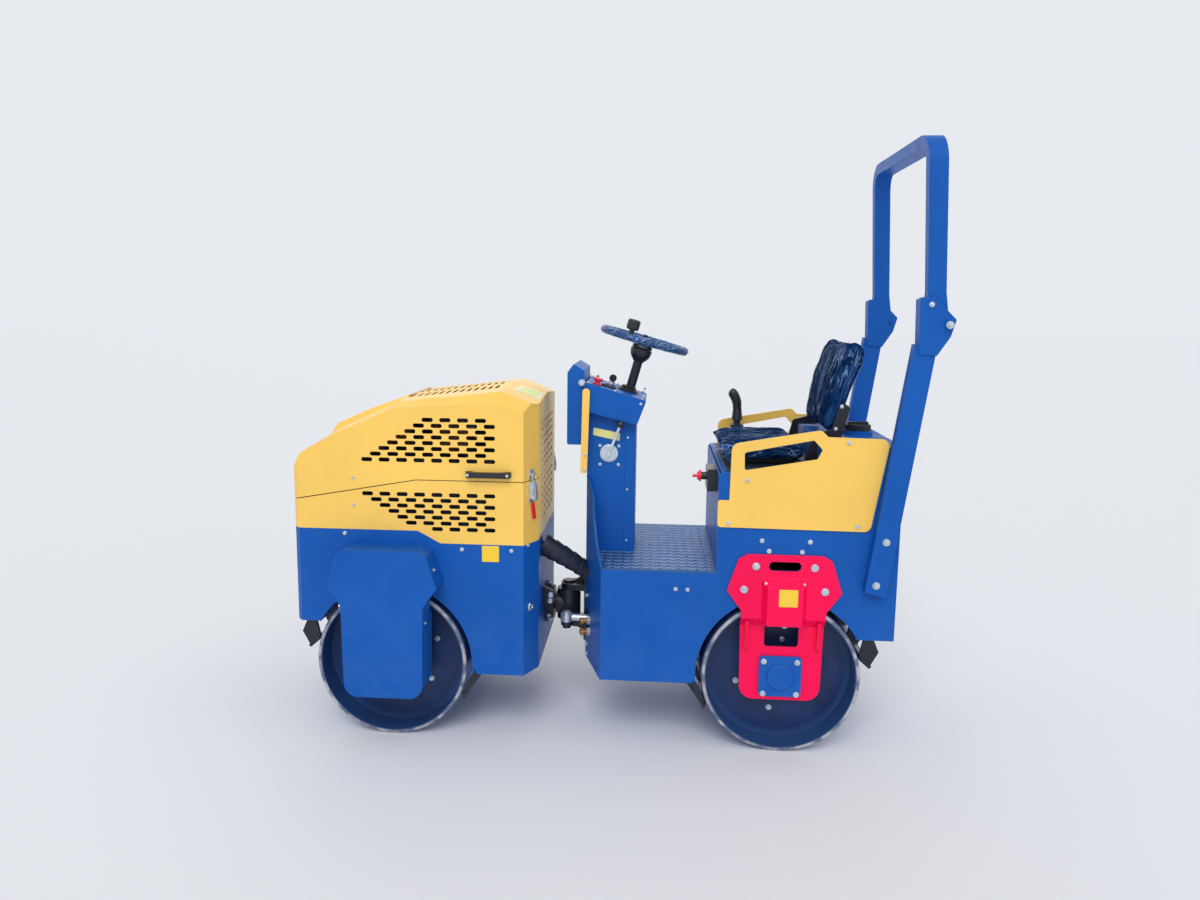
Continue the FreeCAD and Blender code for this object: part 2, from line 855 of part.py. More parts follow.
def hood_latches():
    """Toggle latch on each rear corner facet, its plate below the seam."""
    latches = []
    facet = Vector(front_back_x - front_side_end_x, body_half_width - front_back_half_width, 0)
    facet.normalize()
    outward = Vector(facet.y, -facet.x, 0)
    middle = Vector(
        (front_side_end_x + front_back_x) / 2.0,
        -(body_half_width + front_back_half_width) / 2.0,
        0,
    )
    for side in SIDES:
        corners = []
        for along, out in ((-14.0, 0.0), (14.0, 0.0), (14.0, 7.0), (5.0, 16.0), (-5.0, 16.0), (-14.0, 7.0)):
            point = middle + facet * along + outward * out
            corners.append((point.x, point.y))
        body = prism_xy(corners, latch_z[0], hood_seam_back_z - hood_seam_gap)
        latches.append(on_side(body, side))
    return Part.makeCompound(latches)


# Scrapers

scraper_half_width = 335.0
scraper_gap = 1.5
scraper_blade = 12.0
scraper_arm = 14.0


def scraper_pair(axle_x, upper_side, upper_floor_z, lower_floor_z):
    """Two scrapers on one drum, high up and under the tub, each a blade on four arms."""
    def points(side, corners):
        return [(axle_x + side * x, z) + tuple(rest) for x, z, *rest in corners]

    upper = points(
        upper_side,
        [
            (drum_radius - 7.0 + scraper_gap, axle_height + 70.0),
            (drum_radius + 12.0, upper_floor_z),
            (drum_radius + 42.0, upper_floor_z),
            (drum_radius + 64.0, axle_height + 98.0),
            (drum_radius + 32.0, axle_height + 38.0),
        ],
    )
    lower = points(
        -upper_side,
        [
            (drum_radius + 22.0, lower_floor_z - fit_gap),
            (drum_radius + 60.0, lower_floor_z - fit_gap),
            (drum_radius + 38.0, axle_height - 62.0),
            (drum_radius - 14.0, axle_height - 138.0),
            (drum_radius - 24.0 + scraper_gap, axle_height - 122.0),
            (drum_radius + 5.0, axle_height - 62.0),
        ],
    )
    scrapers = []
    for outline, edge in ((upper, (4, 0)), (lower, (3, 4))):
        start = Vector(outline[edge[0]][0], outline[edge[0]][1], 0)
        end = Vector(outline[edge[1]][0], outline[edge[1]][1], 0)
        middle = sum((corner[0] for corner in outline)) / len(outline)
        across = Vector(-(end - start).y, (end - start).x, 0).normalize() * scraper_blade
        if (across.x > 0) != (middle > (start.x + end.x) / 2.0):
            across = -across
        strip = [(v.x, v.y) for v in (start, end, end + across, start + across)]
        pieces = [prism_xz(strip, -scraper_half_width, scraper_half_width)]
        for place in (-1.0, -1.0 / 3.0, 1.0 / 3.0, 1.0):
            y = place * (scraper_half_width - scraper_arm)
            pieces.append(prism_xz(outline, y - scraper_arm / 2.0, y + scraper_arm / 2.0))
        scrapers.append(joined(pieces))
    return Part.makeCompound(scrapers)


# Rear module

def rear_plan(inset):
    """Plan outline of the seat module, tapered to a nose at the pivot."""
    half = body_half_width - inset
    nose = tub_nose_half_width - inset * 0.4
    return [
        (rear_end_x - inset, -half),
        (rear_end_x - inset, half),
        (tub_front_x + inset * 0.4, half),
        (tub_nose_x + inset, nose),
        (tub_nose_x + inset, -nose),
        (tub_front_x + inset * 0.4, -half),
    ]


def rear_chassis():
    """Welded tub and seat housing, open over the drum."""
    rear_lip_x = rear_axle_x + arch_reach(rear_floor_z)
    side = [
        (tub_nose_x - 1.0, deck_z - floor_plate_thickness),
        (tub_nose_x - 1.0, tub_floor_z),
        (tub_lip_x, tub_floor_z),
        (tub_lip_x + 16.0, axle_height),
        (rear_axle_x, 150.0),
        (arch_radius, axle_height),
        (rear_lip_x - 1.5, rear_floor_z),
        (rear_end_x + 1.0, rear_floor_z),
        (rear_end_x + 1.0, tank_top_z),
        (seat_box_back_x, tank_top_z),
        (seat_box_back_x, seat_box_top_z),
        (seat_box_front_x, seat_box_top_z, 18.0),
        (seat_box_front_x, deck_z - floor_plate_thickness),
    ]
    outline = prism_xz(side, -beyond_side, beyond_side).cut(
        rod_y(arch_radius, rear_axle_x, -beyond_side - 1.0, beyond_side + 1.0, axle_height)
    )
    ring = prism_xy(rear_plan(0.0), 200.0, 1200.0).cut(prism_xy(rear_plan(sheet), 199.0, 1201.0))
    walls = ring.common(outline)
    inner_half = body_half_width - sheet
    plan = prism_xy(rear_plan(sheet * 0.5), 0.0, 1300.0)
    plates = [
        block(tub_nose_x, tub_lip_x, -inner_half, inner_half, tub_floor_z, tub_floor_z + sheet),
        block(rear_lip_x - 5.5, rear_end_x, -inner_half, inner_half, rear_floor_z, rear_floor_z + sheet),
        block(seat_box_front_x, seat_box_front_x + sheet, -inner_half, inner_half,
              deck_z - floor_plate_thickness, seat_box_top_z - 10.0),
        block(seat_box_front_x + 8.0, seat_box_back_x, -inner_half, inner_half,
              seat_box_top_z - sheet, seat_box_top_z),
        block(seat_box_back_x, seat_box_back_x + sheet, -inner_half, inner_half,
              seat_box_top_z - sheet, tank_top_z),
        block(seat_box_back_x, rear_end_x, -inner_half, inner_half, tank_top_z - sheet, tank_top_z),
    ]
    plates = [plate.common(plan) for plate in plates]
    arch = arch_sheet(rear_axle_x, 30.0, 186.0)
    wings = []
    wing_direction = Vector(
        tub_nose_x - tub_front_x, -tub_nose_half_width + body_half_width, 0
    )
    length = wing_direction.Length
    angle = math.degrees(math.atan2(wing_direction.y, wing_direction.x))
    wing_top = [
        (0.0, 0.0),
        (length * 0.28, 70.0, 40.0),
        (length * 0.52, 165.0, 60.0),
        (length * 0.55, 235.0, 40.0),
        (length, 300.0),
        (length, 0.0),
    ]
    face = flat_face(wing_top, lambda p: Vector(p.x, 0, p.y))
    wing = face.extrude(Vector(0, -sheet, 0))
    wing.rotate(Vector(0, 0, 0), Vector(0, 0, 1), angle)
    wing.translate(Vector(tub_front_x, -body_half_width, deck_z - floor_plate_thickness))
    wing = wing.cut(
        block(
            tub_nose_x, post_back_x, -tub_nose_half_width, tub_nose_half_width,
            tub_floor_z, deck_z + 400.0,
        )
    )
    for side_sign in SIDES:
        wings.append(on_side(wing, side_sign))
    opening = block(tub_nose_x - 5.0, tub_nose_x + 60.0, -165.0, -50.0, steer_z - 50.0, steer_z + 50.0)
    body = joined([walls, arch, tank_neck(), steer_anchor()] + plates)
    hook_room = lift_slot_hole(rear_axle_x, -body_half_width - 1.0, -body_half_width + sheet + 1.0)
    return body.cut(opening).cut(hook_room), wings


def floor_plate():
    """Tread plate of the footwell, laid between the wings and cut round the console post."""
    slant = (tub_nose_x - tub_front_x) / (body_half_width - tub_nose_half_width)
    wing_inside = sheet * math.hypot(1.0, slant) + fit_gap
    post_half = tub_nose_half_width + fit_gap
    beside_post_x = tub_nose_x + wing_inside - slant * fit_gap
    near_half = [
        (post_back_x + fit_gap, -post_half),
        (beside_post_x, -post_half),
        (tub_front_x + wing_inside, -body_half_width),
        (seat_box_front_x - fit_gap, -body_half_width),
    ]
    far_half = [(x, -y) for x, y in reversed(near_half)]
    return prism_xy(near_half + far_half, deck_z - floor_plate_thickness, deck_z)


def console_post():
    """Folded sheet post from the deck to the instrument box."""
    foot_z = deck_z - floor_plate_thickness
    outer = block(tub_nose_x, post_back_x, -tub_nose_half_width, tub_nose_half_width, foot_z, post_top_z)
    inner = block(
        tub_nose_x + sheet, post_back_x - sheet,
        -tub_nose_half_width + sheet, tub_nose_half_width - sheet,
        foot_z - 1.0, post_top_z + 1.0,
    )
    below_box = prism_xz(
        [
            (tub_nose_x - 10.0, foot_z),
            (post_back_x + 10.0, foot_z),
            (post_back_x + 10.0, 1150.0),
            (tub_nose_x - 10.0, 1203.0),
        ],
        -beyond_side,
        beyond_side,
    )
    return outer.cut(inner).common(below_box)


instrument_outline = (
    # X, Z of the instrument box seen from the side
    (-726.0, 1310.0),
    (-726.0, 1204.0),
    (-588.0, 1168.0),
    (-530.0, 1154.0),
    (-497.0, 1244.0),
)


def instrument_box():
    """Wedge-shaped box with the sloping dashboard."""
    return prism_xz([p + (6.0,) for p in instrument_outline], -console_half_width, console_half_width)


def console_shield():
    """Upright box in front of the dashboard, with a bevelled top."""
    front = -789.0
    back = instrument_outline[0][0] - fit_gap
    profile = [
        (front, 1076.0, 8.0),
        (back, 1076.0),
        (back, 1352.0),
        (back - 40.0, 1376.0, 6.0),
        (front, 1344.0, 6.0),
    ]
    return prism_xz(profile, -console_half_width + 6.0, console_half_width - 6.0)


def console_handles():
    """Flat grab bar on each side of the console."""
    bars = []
    for side in SIDES:
        bar = prism_xz(
            [
                (-737.0, 972.0, 8.0),
                (-712.0, 972.0, 8.0),
                (-704.0, 1284.0, 12.0),
                (-731.0, 1290.0, 12.0),
            ],
            -handle_y - 5.0,
            -handle_y + 1.0,
        )
        foot = block(tub_nose_x - 18.0, tub_nose_x, -handle_y, -tub_nose_half_width, 980.0, 1004.0)
        head = block(tub_nose_x - 10.0, tub_nose_x + 4.0, -handle_y, -console_half_width, 1240.0, 1262.0)
        bars.append(on_side(joined([bar, foot, head]), side))
    return Part.makeCompound(bars)


column_axis = Vector(math.sin(math.radians(wheel_tilt)), 0, math.cos(math.radians(wheel_tilt)))
wheel_centre = Vector(wheel_centre_x, 0, wheel_centre_z)


def along_column(distance):
    return wheel_centre - column_axis * distance


def steering_column():
    """Tube from the dashboard with the boss that carries the wheel."""
    tube = Part.makeCylinder(column_radius, column_length, along_column(column_length + 36.0), column_axis)
    boss = Part.makeCone(
        column_radius + 4.0, column_boss_radius, column_boss_length,
        along_column(36.0 + column_boss_length), column_axis,
    )
    shaft = Part.makeCylinder(9.0, 60.0, along_column(40.0), column_axis)
    return joined([tube, boss, shaft]).cut(instrument_box())


def steering_wheel():
    """Rim, three spokes, hub and spinner knob."""
    rim = Part.makeTorus(wheel_radius - wheel_rim_radius, wheel_rim_radius)
    hub = Part.makeCylinder(30.0, 34.0, Vector(0, 0, -32.0))
    bore = Part.makeCylinder(9.05, 100.0, Vector(0, 0, -78.0))
    parts = [rim, hub]
    for angle in (90.0, 210.0, 330.0):
        spoke = Part.makeBox(wheel_radius - wheel_rim_radius - 20.0, 26.0, 9.0, Vector(20.0, -13.0, -22.0))
        spoke.rotate(Vector(0, 0, 0), Vector(0, 1, 0), -6.0)
        spoke.rotate(Vector(0, 0, 0), Vector(0, 0, 1), angle)
        parts.append(spoke)
    rim_line = wheel_radius - wheel_rim_radius
    knob_foot = Vector(-rim_line * 0.34, -rim_line * 0.94, 0)
    knob_stem = Part.makeCylinder(7.0, 34.0, knob_foot)
    knob = Part.makeCylinder(21.0, 34.0, knob_foot + Vector(0, 0, 30.0))
    whole = joined(parts + [knob_stem, knob]).cut(bore)
    whole.rotate(Vector(0, 0, 0), Vector(0, 1, 0), wheel_tilt)
    whole.translate(wheel_centre)
    return whole


def throttle():
    """Throttle disc with its hand lever on the near side of the post."""
    x, z = -634.0, 1040.0
    y = -tub_nose_half_width
    disc = rod_y(26.0, x, y - 12.0, y, z)
    lever = prism_xz(
        [(x - 5.0, z), (x + 5.0, z), (x + 49.0, z + 114.0), (x + 39.0, z + 116.0)],
        y - 20.0,
        y - 12.0,
    )
    grip = rod_y(9.0, x + 44.0, y - 44.0, y - 14.0, z + 116.0)
    return joined([disc, lever, grip])


def side_panels():
    """Yellow arm panel on each side of the seat, with its grip opening."""
    outline = [
        (-240.0, 826.0, 12.0),
        (283.0, 822.0, 26.0),
        (336.0, 1146.0, 26.0),
        (127.0, 1150.0, 8.0),
        (104.0, 1173.0, 20.0),
        (-198.0, 1120.0, 30.0),
        (-201.0, 922.0, 4.0),
        (-240.0, 922.0, 10.0),
    ]
    grip = [
        (-152.0, 1028.0, 8.0),
        (94.0, 1072.0, 8.0),
        (110.0, 1105.0, 6.0),
        (80.0, 1138.0, 8.0),
        (-154.0, 1091.0, 10.0),
    ]
    y0 = -body_half_width - sheet
    y1 = -body_half_width
    panel = prism_xz(outline, y0, y1).cut(prism_xz(grip, y0 - 1.0, y1 + 1.0))
    return Part.makeCompound([on_side(panel, side) for side in SIDES])


def tank_neck():
    """Collar of the filler behind the seat."""
    collar = rod_z(56.0, 300.0, 0.0, tank_top_z, tank_top_z + 14.0)
    return collar


def filler_cap():
    return joined([
        rod_z(46.0, 300.0, 0.0, tank_top_z + 14.0, tank_top_z + 36.0),
        block(262.0, 338.0, -8.0, 8.0, tank_top_z + 34.0, tank_top_z + 46.0),
    ])


def seat_cushion():
    """Closed form of the seat pad."""
    return prism_xz(
        [
            (-190.0, seat_base_top_z + fit_gap, 20.0),
            (86.0, seat_base_top_z + fit_gap, 20.0),
            (84.0, 1108.0, 24.0),
            (-90.0, 1112.0, 60.0),
            (-262.0, 1098.0, 14.0),
        ],
        -seat_half_width,
        seat_half_width,
    )


def seat_back():
    """Closed form of the backrest pad."""
    return prism_xz(
        [
            (128.0, 1136.0, 14.0),
            (172.0, 1136.0, 18.0),
            (238.0, 1324.0, 60.0),
            (280.0, 1440.0, 26.0),
            (256.0, 1482.0, 22.0),
            (210.0, 1482.0, 24.0),
            (156.0, 1330.0, 60.0),
        ],
        -seat_half_width,
        seat_half_width,
    )


def seat_frame():
    """Black base under the pads with the bracket that joins them on each side."""
    base = block(-150.0, 80.0, -150.0, 150.0, seat_box_top_z, seat_base_top_z)
    parts = [base]
    for side in SIDES:
        arm = prism_xz(
            [
                (66.0, 1030.0, 8.0),
                (112.0, 1030.0, 8.0),
                (114.0, 1125.0),
                (192.0, 1125.0, 12.0),
                (222.0, 1240.0, 14.0),
                (188.0, 1262.0, 14.0),
                (160.0, 1160.0),
                (92.0, 1142.0, 12.0),
            ],
            -seat_half_width - fit_gap - 10.0,
            -seat_half_width - fit_gap,
        )
        foot = block(40.0, 110.0, -seat_half_width - 10.0, -140.0, 1024.0, seat_base_top_z)
        parts.append(on_side(joined([arm, foot]), side))
    return joined(parts)


def travel_lever():
    """Travel lever with a black grip, on the far side of the seat."""
    y = body_half_width - 86.0
    stem = Part.makeCylinder(7.0, 130.0, Vector(-128.0, y, seat_box_top_z))
    grip_low = Part.makeCone(22.0, 15.0, 70.0, Vector(-128.0, y, 1132.0))
    grip_high = Part.makeCylinder(15.0, 52.0, Vector(-128.0, y, 1196.0), Vector(-0.35, 0, 1))
    gate = block(-168.0, -88.0, y - 34.0, y + 34.0, seat_box_top_z, seat_box_top_z + 8.0)
    return joined([stem, grip_low, grip_high, gate])


def isolator():
    """Battery isolator box on the front of the seat housing, with its key."""
    near_y = -body_half_width + 106.0
    box = block(seat_box_front_x - 34.0, seat_box_front_x, near_y, near_y + 130.0, 930.0, 1010.0)
    key = rod_x(14.0, seat_box_front_x - 54.0, seat_box_front_x - 34.0, near_y + 65.0, 976.0)
    return joined([box, key])


def rops_leg():
    """Lower leg of the roll bar, with the folding bracket at its top."""
    outer = -rops_inner_y - rops_tube_depth
    tube = prism_xz(
        [
            (268.0, 616.0),
            (340.0, 599.0, 6.0),
            (rops_pivot_x - 32.0, rops_pivot_z - 84.0),
            (rops_pivot_x - 103.0, rops_pivot_z - 64.0),
        ],
        outer,
        -rops_inner_y,
    )
    bracket = (
        # X and Z from the pivot, radius of the corner
        (-90.0, -96.0, 4.0),
        (-32.0, -102.0, 4.0),
        (9.0, -38.0, 10.0),
        (overall_max_x - rops_pivot_x, 17.0, 0.0),
        (-49.0, 90.0, 6.0),
        (-79.0, 90.0, 6.0),
        (-96.0, 83.0, 4.0),
    )
    bracket_outline = [(rops_pivot_x + dx, rops_pivot_z + dz, radius) for dx, dz, radius in bracket]
    plate = 6.0
    cheeks = prism_xz(bracket_outline, outer - plate, -rops_inner_y + plate)
    channel = prism_xz(
        [
            (rops_pivot_x - 90.0, rops_pivot_z - 60.0),
            (rops_pivot_x + 32.0, rops_pivot_z - 60.0),
            (rops_pivot_x + 32.0, rops_pivot_z + 106.0),
            (rops_pivot_x - 90.0, rops_pivot_z + 106.0),
        ],
        outer,
        -rops_inner_y,
    )
    pin = rod_y(rops_pin_radius, rops_pivot_x, outer - plate - 7.0, -rops_inner_y + plate + 7.0, rops_pivot_z)
    return joined([joined([tube, cheeks]).cut(channel), pin])


def rops_legs():
    return Part.makeCompound([on_side(rops_leg(), side) for side in SIDES])


def rops_hoop():
    """Upper hoop of the roll bar, hinged in the brackets of the legs."""
    outer = rops_inner_y + rops_tube_depth
    inner = rops_inner_y
    gap = 1.0
    foot_z = rops_pivot_z - 20.0
    lean = math.tan(math.radians(3.0))
    knee_z = rops_pivot_z + 106.0
    tube_front = rops_pivot_x - 71.0
    tube_back = tube_front + hoop_tube_width
    top_shift = lean * (rops_top_z - knee_z)
    half_out = outer - gap
    half_in = inner + gap
    frame = prism_yz(
        [
            (-half_out, foot_z),
            (-half_out, rops_top_z, rops_bend_radius),
            (half_out, rops_top_z, rops_bend_radius),
            (half_out, foot_z),
            (half_in, foot_z),
            (half_in, rops_top_z - rops_tube_depth, rops_bend_radius - rops_tube_depth),
            (-half_in, rops_top_z - rops_tube_depth, rops_bend_radius - rops_tube_depth),
            (-half_in, foot_z),
        ],
        rops_pivot_x - 188.0,
        rops_pivot_x + 112.0,
    )
    side = prism_xz(
        [
            (rops_pivot_x - 78.0, foot_z + 10.0, 4.0),
            (rops_pivot_x - 6.0, foot_z, 10.0),
            (rops_pivot_x + 14.0, rops_pivot_z - 4.0, 10.0),
            (rops_pivot_x, rops_pivot_z + 24.0),
            (tube_back - 3.0, knee_z),
            (tube_back - top_shift, rops_top_z + 1.0),
            (tube_front - top_shift, rops_top_z + 1.0),
            (tube_front, knee_z),
        ],
        -beyond_rops,
        beyond_rops,
    )
    holes = rod_y(rops_pin_radius + rops_pin_clearance, rops_pivot_x, -beyond_rops, beyond_rops, rops_pivot_z)
    return frame.common(side).cut(holes)


# Articulation

def hinge_bracket():
    """Two lugs on the nose of the seat module with the vertical pin between them."""
    lugs = []
    for side in SIDES:
        z_near = pivot_z + side * lug_half_gap
        z0 = min(z_near, z_near + side * lug_thickness)
        lug = prism_xy(
            [
                (tub_nose_x, -lug_half_width),
                (tub_nose_x, lug_half_width),
                (pivot_x - 30.0, 40.0, 38.0),
                (pivot_x - 30.0, -40.0, 38.0),
            ],
            z0,
            z0 + lug_thickness,
        )
        rib = prism_xz(
            [
                (tub_nose_x, z_near + side * lug_thickness),
                (pivot_x + 14.0, z_near + side * lug_thickness),
                (tub_nose_x, z_near + side * (lug_thickness + 44.0)),
            ],
            -7.0,
            7.0,
        )
        lugs.append(lug)
        lugs.append(rib)
    mount = block(tub_nose_x - 10.0, tub_nose_x, -lug_mount_half_width, lug_mount_half_width, pivot_z - 134.0, pivot_z + 134.0)
    reach = lug_half_gap + lug_thickness
    pin = rod_z(pivot_pin_radius, pivot_x, 0.0, pivot_z - reach - 8.0, pivot_z + reach + 8.0)
    return joined(lugs + [mount, pin])


def knuckle():
    """Centre casting: bored for the vertical pin, with the shaft it rolls on and the steering arm."""
    half = lug_half_gap - knuckle_lug_gap
    barrel = rod_z(knuckle_radius, pivot_x, 0.0, pivot_z - half, pivot_z + half)
    neck = rod_x(44.0, front_back_x + roll_housing_length + 6.0, pivot_x, 0.0, pivot_z)
    shaft = rod_x(roll_shaft_radius, front_back_x - 40.0, pivot_x, 0.0, pivot_z)
    arm = prism_xy(
        [
            (pivot_x - 34.0, 0.0),
            (pivot_x + 34.0, 0.0),
            (pivot_x + 20.0, -steer_arm - 20.0, 18.0),
            (pivot_x - 20.0, -steer_arm - 20.0, 18.0),
        ],
        steer_arm_z,
        steer_arm_z + steer_arm_thickness,
    )
    nut = rod_z(steer_pin_radius + 6.0, pivot_x, -steer_arm, steer_arm_z - 12.0, steer_arm_z)
    bore = rod_z(pivot_pin_radius + pivot_pin_clearance, pivot_x, 0.0, pivot_z - 200.0, pivot_z + 200.0)
    return joined([barrel, neck, shaft, arm, nut]).cut(bore)


def roll_housing():
    """Bearing housing on the back wall of the engine module, round the roll shaft."""
    flange = rod_x(roll_housing_radius + 16.0, front_back_x, front_back_x + 12.0, 0.0, pivot_z)
    body = rod_x(roll_housing_radius, front_back_x, front_back_x + roll_housing_length, 0.0, pivot_z)
    bore = rod_x(
        roll_shaft_radius + pivot_pin_clearance, front_back_x - 50.0,
        front_back_x + 80.0, 0.0, pivot_z,
    )
    return joined([flange, body]).cut(bore)


def steer_barrel():
    """Barrel of the steering cylinder with its anchor eye."""
    z = steer_z
    y = -steer_arm
    tube_end_x = steer_anchor_x - 34.0
    tube = rod_x(steer_barrel_radius, tube_end_x - steer_barrel_length, tube_end_x, y, z)
    neck = rod_x(13.0, tube_end_x - 1.0, steer_anchor_x - 12.0, y, z)
    bore = rod_x(
        steer_rod_radius + steer_rod_clearance,
        tube_end_x - steer_barrel_length - 1.0, tube_end_x - 16.0, y, z,
    )
    eye = rod_z(steer_eye_radius, steer_anchor_x, y, z - 15.0, z + 15.0)
    hole = rod_z(steer_pin_radius + 0.05, steer_anchor_x, y, z - 40.0, z + 40.0)
    return joined([tube, neck, eye]).cut(bore).cut(hole)


def steer_rod():
    """Piston rod with its eye and pin, which sit on top of the steering arm."""
    z = steer_z
    y = -steer_arm
    rod = rod_x(steer_rod_radius, pivot_x + 10.0, steer_anchor_x - 130.0, y, z)
    eye_bottom = z - steer_eye_height / 2.0
    eye = rod_z(steer_eye_radius, pivot_x, y, eye_bottom, eye_bottom + steer_eye_height)
    head = rod_z(steer_pin_radius + 5.0, pivot_x, y, eye_bottom, eye_bottom + steer_eye_height + 9.0)
    return joined([rod, eye, head])


def steer_anchor():
    """Clevis in the tub that holds the barrel's eye."""
    z = steer_z
    y = -steer_arm
    plates = []
    for side in SIDES:
        z_near = z + side * 16.0
        z0 = min(z_near, z_near + side * 10.0)
        plates.append(block(steer_anchor_x - 24.0, steer_anchor_x + 46.0, y - 26.0, y + 26.0, z0, z0 + 10.0))
    back = block(steer_anchor_x + 36.0, steer_anchor_x + 46.0, y - 40.0, y + 40.0, tub_floor_z + sheet, z + 40.0)
    pin = rod_z(steer_pin_radius, steer_anchor_x, y, z - 30.0, z + 30.0)
    return joined(plates + [back, pin])


boot_route = (
    # X, Y and Z of the protective boot between the modules
    (front_back_x, -150.0, 730.0),
    (-850.0, -150.0, 712.0),
    (-760.0, -140.0, 655.0),
    (-705.0, -132.0, 612.0),
)


def hose_boot():
    """Straight-run boot over the hydraulic hoses."""
    points = [Vector(*p) for p in boot_route]
    pieces = []
    radii = (46.0, 44.0, 40.0, 36.0)
    for index in range(len(points) - 1):
        run = points[index + 1] - points[index]
        pieces.append(Part.makeCone(radii[index], radii[index + 1], run.Length, points[index], run))
        if index:
            pieces.append(Part.makeSphere(radii[index], points[index]))
    gap_plan = [
        (front_back_x + fit_gap, -body_half_width),
        (tub_front_x - fit_gap, -body_half_width),
        (tub_nose_x - fit_gap, -tub_nose_half_width),
        (tub_nose_x - fit_gap, 0.0),
        (front_back_x + fit_gap, 0.0),
    ]
    return joined(pieces).common(prism_xy(gap_plan, 400.0, 900.0))


def build():
    os.makedirs("parts", exist_ok=True)
    nodes = {}
    nodes["front_drum"] = drum(front_axle_x)
    nodes["rear_drum"] = drum(rear_axle_x)
    nodes["rear_lifting_yoke"] = lifting_yoke(rear_axle_x)
    nodes["front_lifting_yoke"] = mirrored(lifting_yoke(front_axle_x))
    nodes["front_drive_yoke"] = drive_yoke(front_axle_x)
    nodes["rear_drive_yoke"] = mirrored(drive_yoke(rear_axle_x))
    nodes["rear_hub_plate"] = hub_plate(rear_axle_x)
    nodes["front_hub_plate"] = mirrored(hub_plate(front_axle_x))
    nodes["front_motor_guard"] = motor_guard(front_axle_x)
    nodes["rear_motor_guard"] = mirrored(motor_guard(rear_axle_x))
    nodes["front_drum_motor"] = drum_motor(front_axle_x)
    nodes["rear_drum_motor"] = mirrored(drum_motor(rear_axle_x))
    nodes["front_chassis"] = front_chassis()
    nodes["lower_hood"] = lower_hood()
    nodes["engine_hood"] = hood()
    nodes["hood_hinge_fixed"] = hood_hinge_fixed()
    nodes["hood_hinge_leaves"] = hood_hinge_leaves()
    nodes["hood_handles"] = hood_handles()
    nodes["hood_latches"] = hood_latches()
    nodes["engine_block"] = engine_block()
    body, wings = rear_chassis()
    nodes["rear_chassis"] = body
    nodes["footwell_wings"] = Part.makeCompound(wings)
    nodes["floor_plate"] = floor_plate()
    nodes["console_post"] = console_post()
    nodes["instrument_box"] = instrument_box()
    nodes["console_shield"] = console_shield()
    nodes["console_handles"] = console_handles()
    nodes["steering_column"] = steering_column()
    nodes["steering_wheel"] = steering_wheel()
    nodes["throttle_lever"] = throttle()
    nodes["side_panels"] = side_panels()
    nodes["filler_cap"] = filler_cap()
    nodes["seat_cushion"] = seat_cushion()
    nodes["seat_back"] = seat_back()
    nodes["seat_frame"] = seat_frame()
    nodes["travel_lever"] = travel_lever()
    nodes["battery_isolator"] = isolator()
    nodes["rops_legs"] = rops_legs()
    nodes["rops_hoop"] = rops_hoop()
    nodes["hinge_bracket"] = hinge_bracket()
    nodes["centre_knuckle"] = knuckle()
    nodes["roll_housing"] = roll_housing()
    nodes["steer_barrel"] = steer_barrel()
    nodes["steer_rod"] = steer_rod()
    nodes["front_scrapers"] = scraper_pair(front_axle_x, -1, front_nose_floor_z, front_tub_floor_z)
    nodes["rear_scrapers"] = scraper_pair(rear_axle_x, 1, rear_floor_z, tub_floor_z)
    nodes["hose_boot"] = hose_boot()
    for name, shape in nodes.items():
        save(name, shape)
        box = shape.BoundBox
        print(name, len(shape.Solids), shape.isValid(), round(shape.Volume / 1e6, 2),
              [round(v) for v in (box.XMin, box.XMax, box.YMin, box.YMax, box.ZMin, box.ZMax)])


build()
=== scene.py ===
import json
import math

import bmesh
import bpy
from mathutils import Matrix, Vector, noise
from mathutils.bvhtree import BVHTree
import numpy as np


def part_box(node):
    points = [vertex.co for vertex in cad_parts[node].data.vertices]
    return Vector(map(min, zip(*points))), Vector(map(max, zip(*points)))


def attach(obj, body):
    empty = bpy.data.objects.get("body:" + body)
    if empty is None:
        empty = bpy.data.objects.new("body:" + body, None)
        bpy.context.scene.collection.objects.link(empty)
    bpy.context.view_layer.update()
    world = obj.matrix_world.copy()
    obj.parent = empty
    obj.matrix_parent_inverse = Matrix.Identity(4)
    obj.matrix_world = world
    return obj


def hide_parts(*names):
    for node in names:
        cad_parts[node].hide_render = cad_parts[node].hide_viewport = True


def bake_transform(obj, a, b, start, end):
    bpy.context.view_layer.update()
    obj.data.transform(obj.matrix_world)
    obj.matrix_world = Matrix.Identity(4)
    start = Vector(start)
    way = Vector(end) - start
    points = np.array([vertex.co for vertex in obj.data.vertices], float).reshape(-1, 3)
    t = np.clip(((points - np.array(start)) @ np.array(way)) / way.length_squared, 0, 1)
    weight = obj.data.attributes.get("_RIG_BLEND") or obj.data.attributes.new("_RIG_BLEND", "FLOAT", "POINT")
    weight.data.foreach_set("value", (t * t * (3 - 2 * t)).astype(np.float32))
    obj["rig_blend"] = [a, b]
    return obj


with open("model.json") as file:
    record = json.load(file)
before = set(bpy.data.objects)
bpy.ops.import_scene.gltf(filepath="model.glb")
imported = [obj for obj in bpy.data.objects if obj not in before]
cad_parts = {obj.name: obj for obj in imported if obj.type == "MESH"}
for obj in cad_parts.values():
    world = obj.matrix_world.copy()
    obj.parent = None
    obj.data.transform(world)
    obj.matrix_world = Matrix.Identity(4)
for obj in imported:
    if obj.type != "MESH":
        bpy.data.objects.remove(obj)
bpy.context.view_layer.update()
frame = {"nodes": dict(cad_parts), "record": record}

# places are given in millimetres from the rear drum's axle, and heights from the ground
mm = 0.001
rearAxle = sum(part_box("rear_drum"), Vector((0, 0, 0))) / 2
frontAxle = sum(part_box("front_drum"), Vector((0, 0, 0))) / 2


def at(x, y, z):
    return Vector((rearAxle.x + x * mm, y * mm, z * mm))


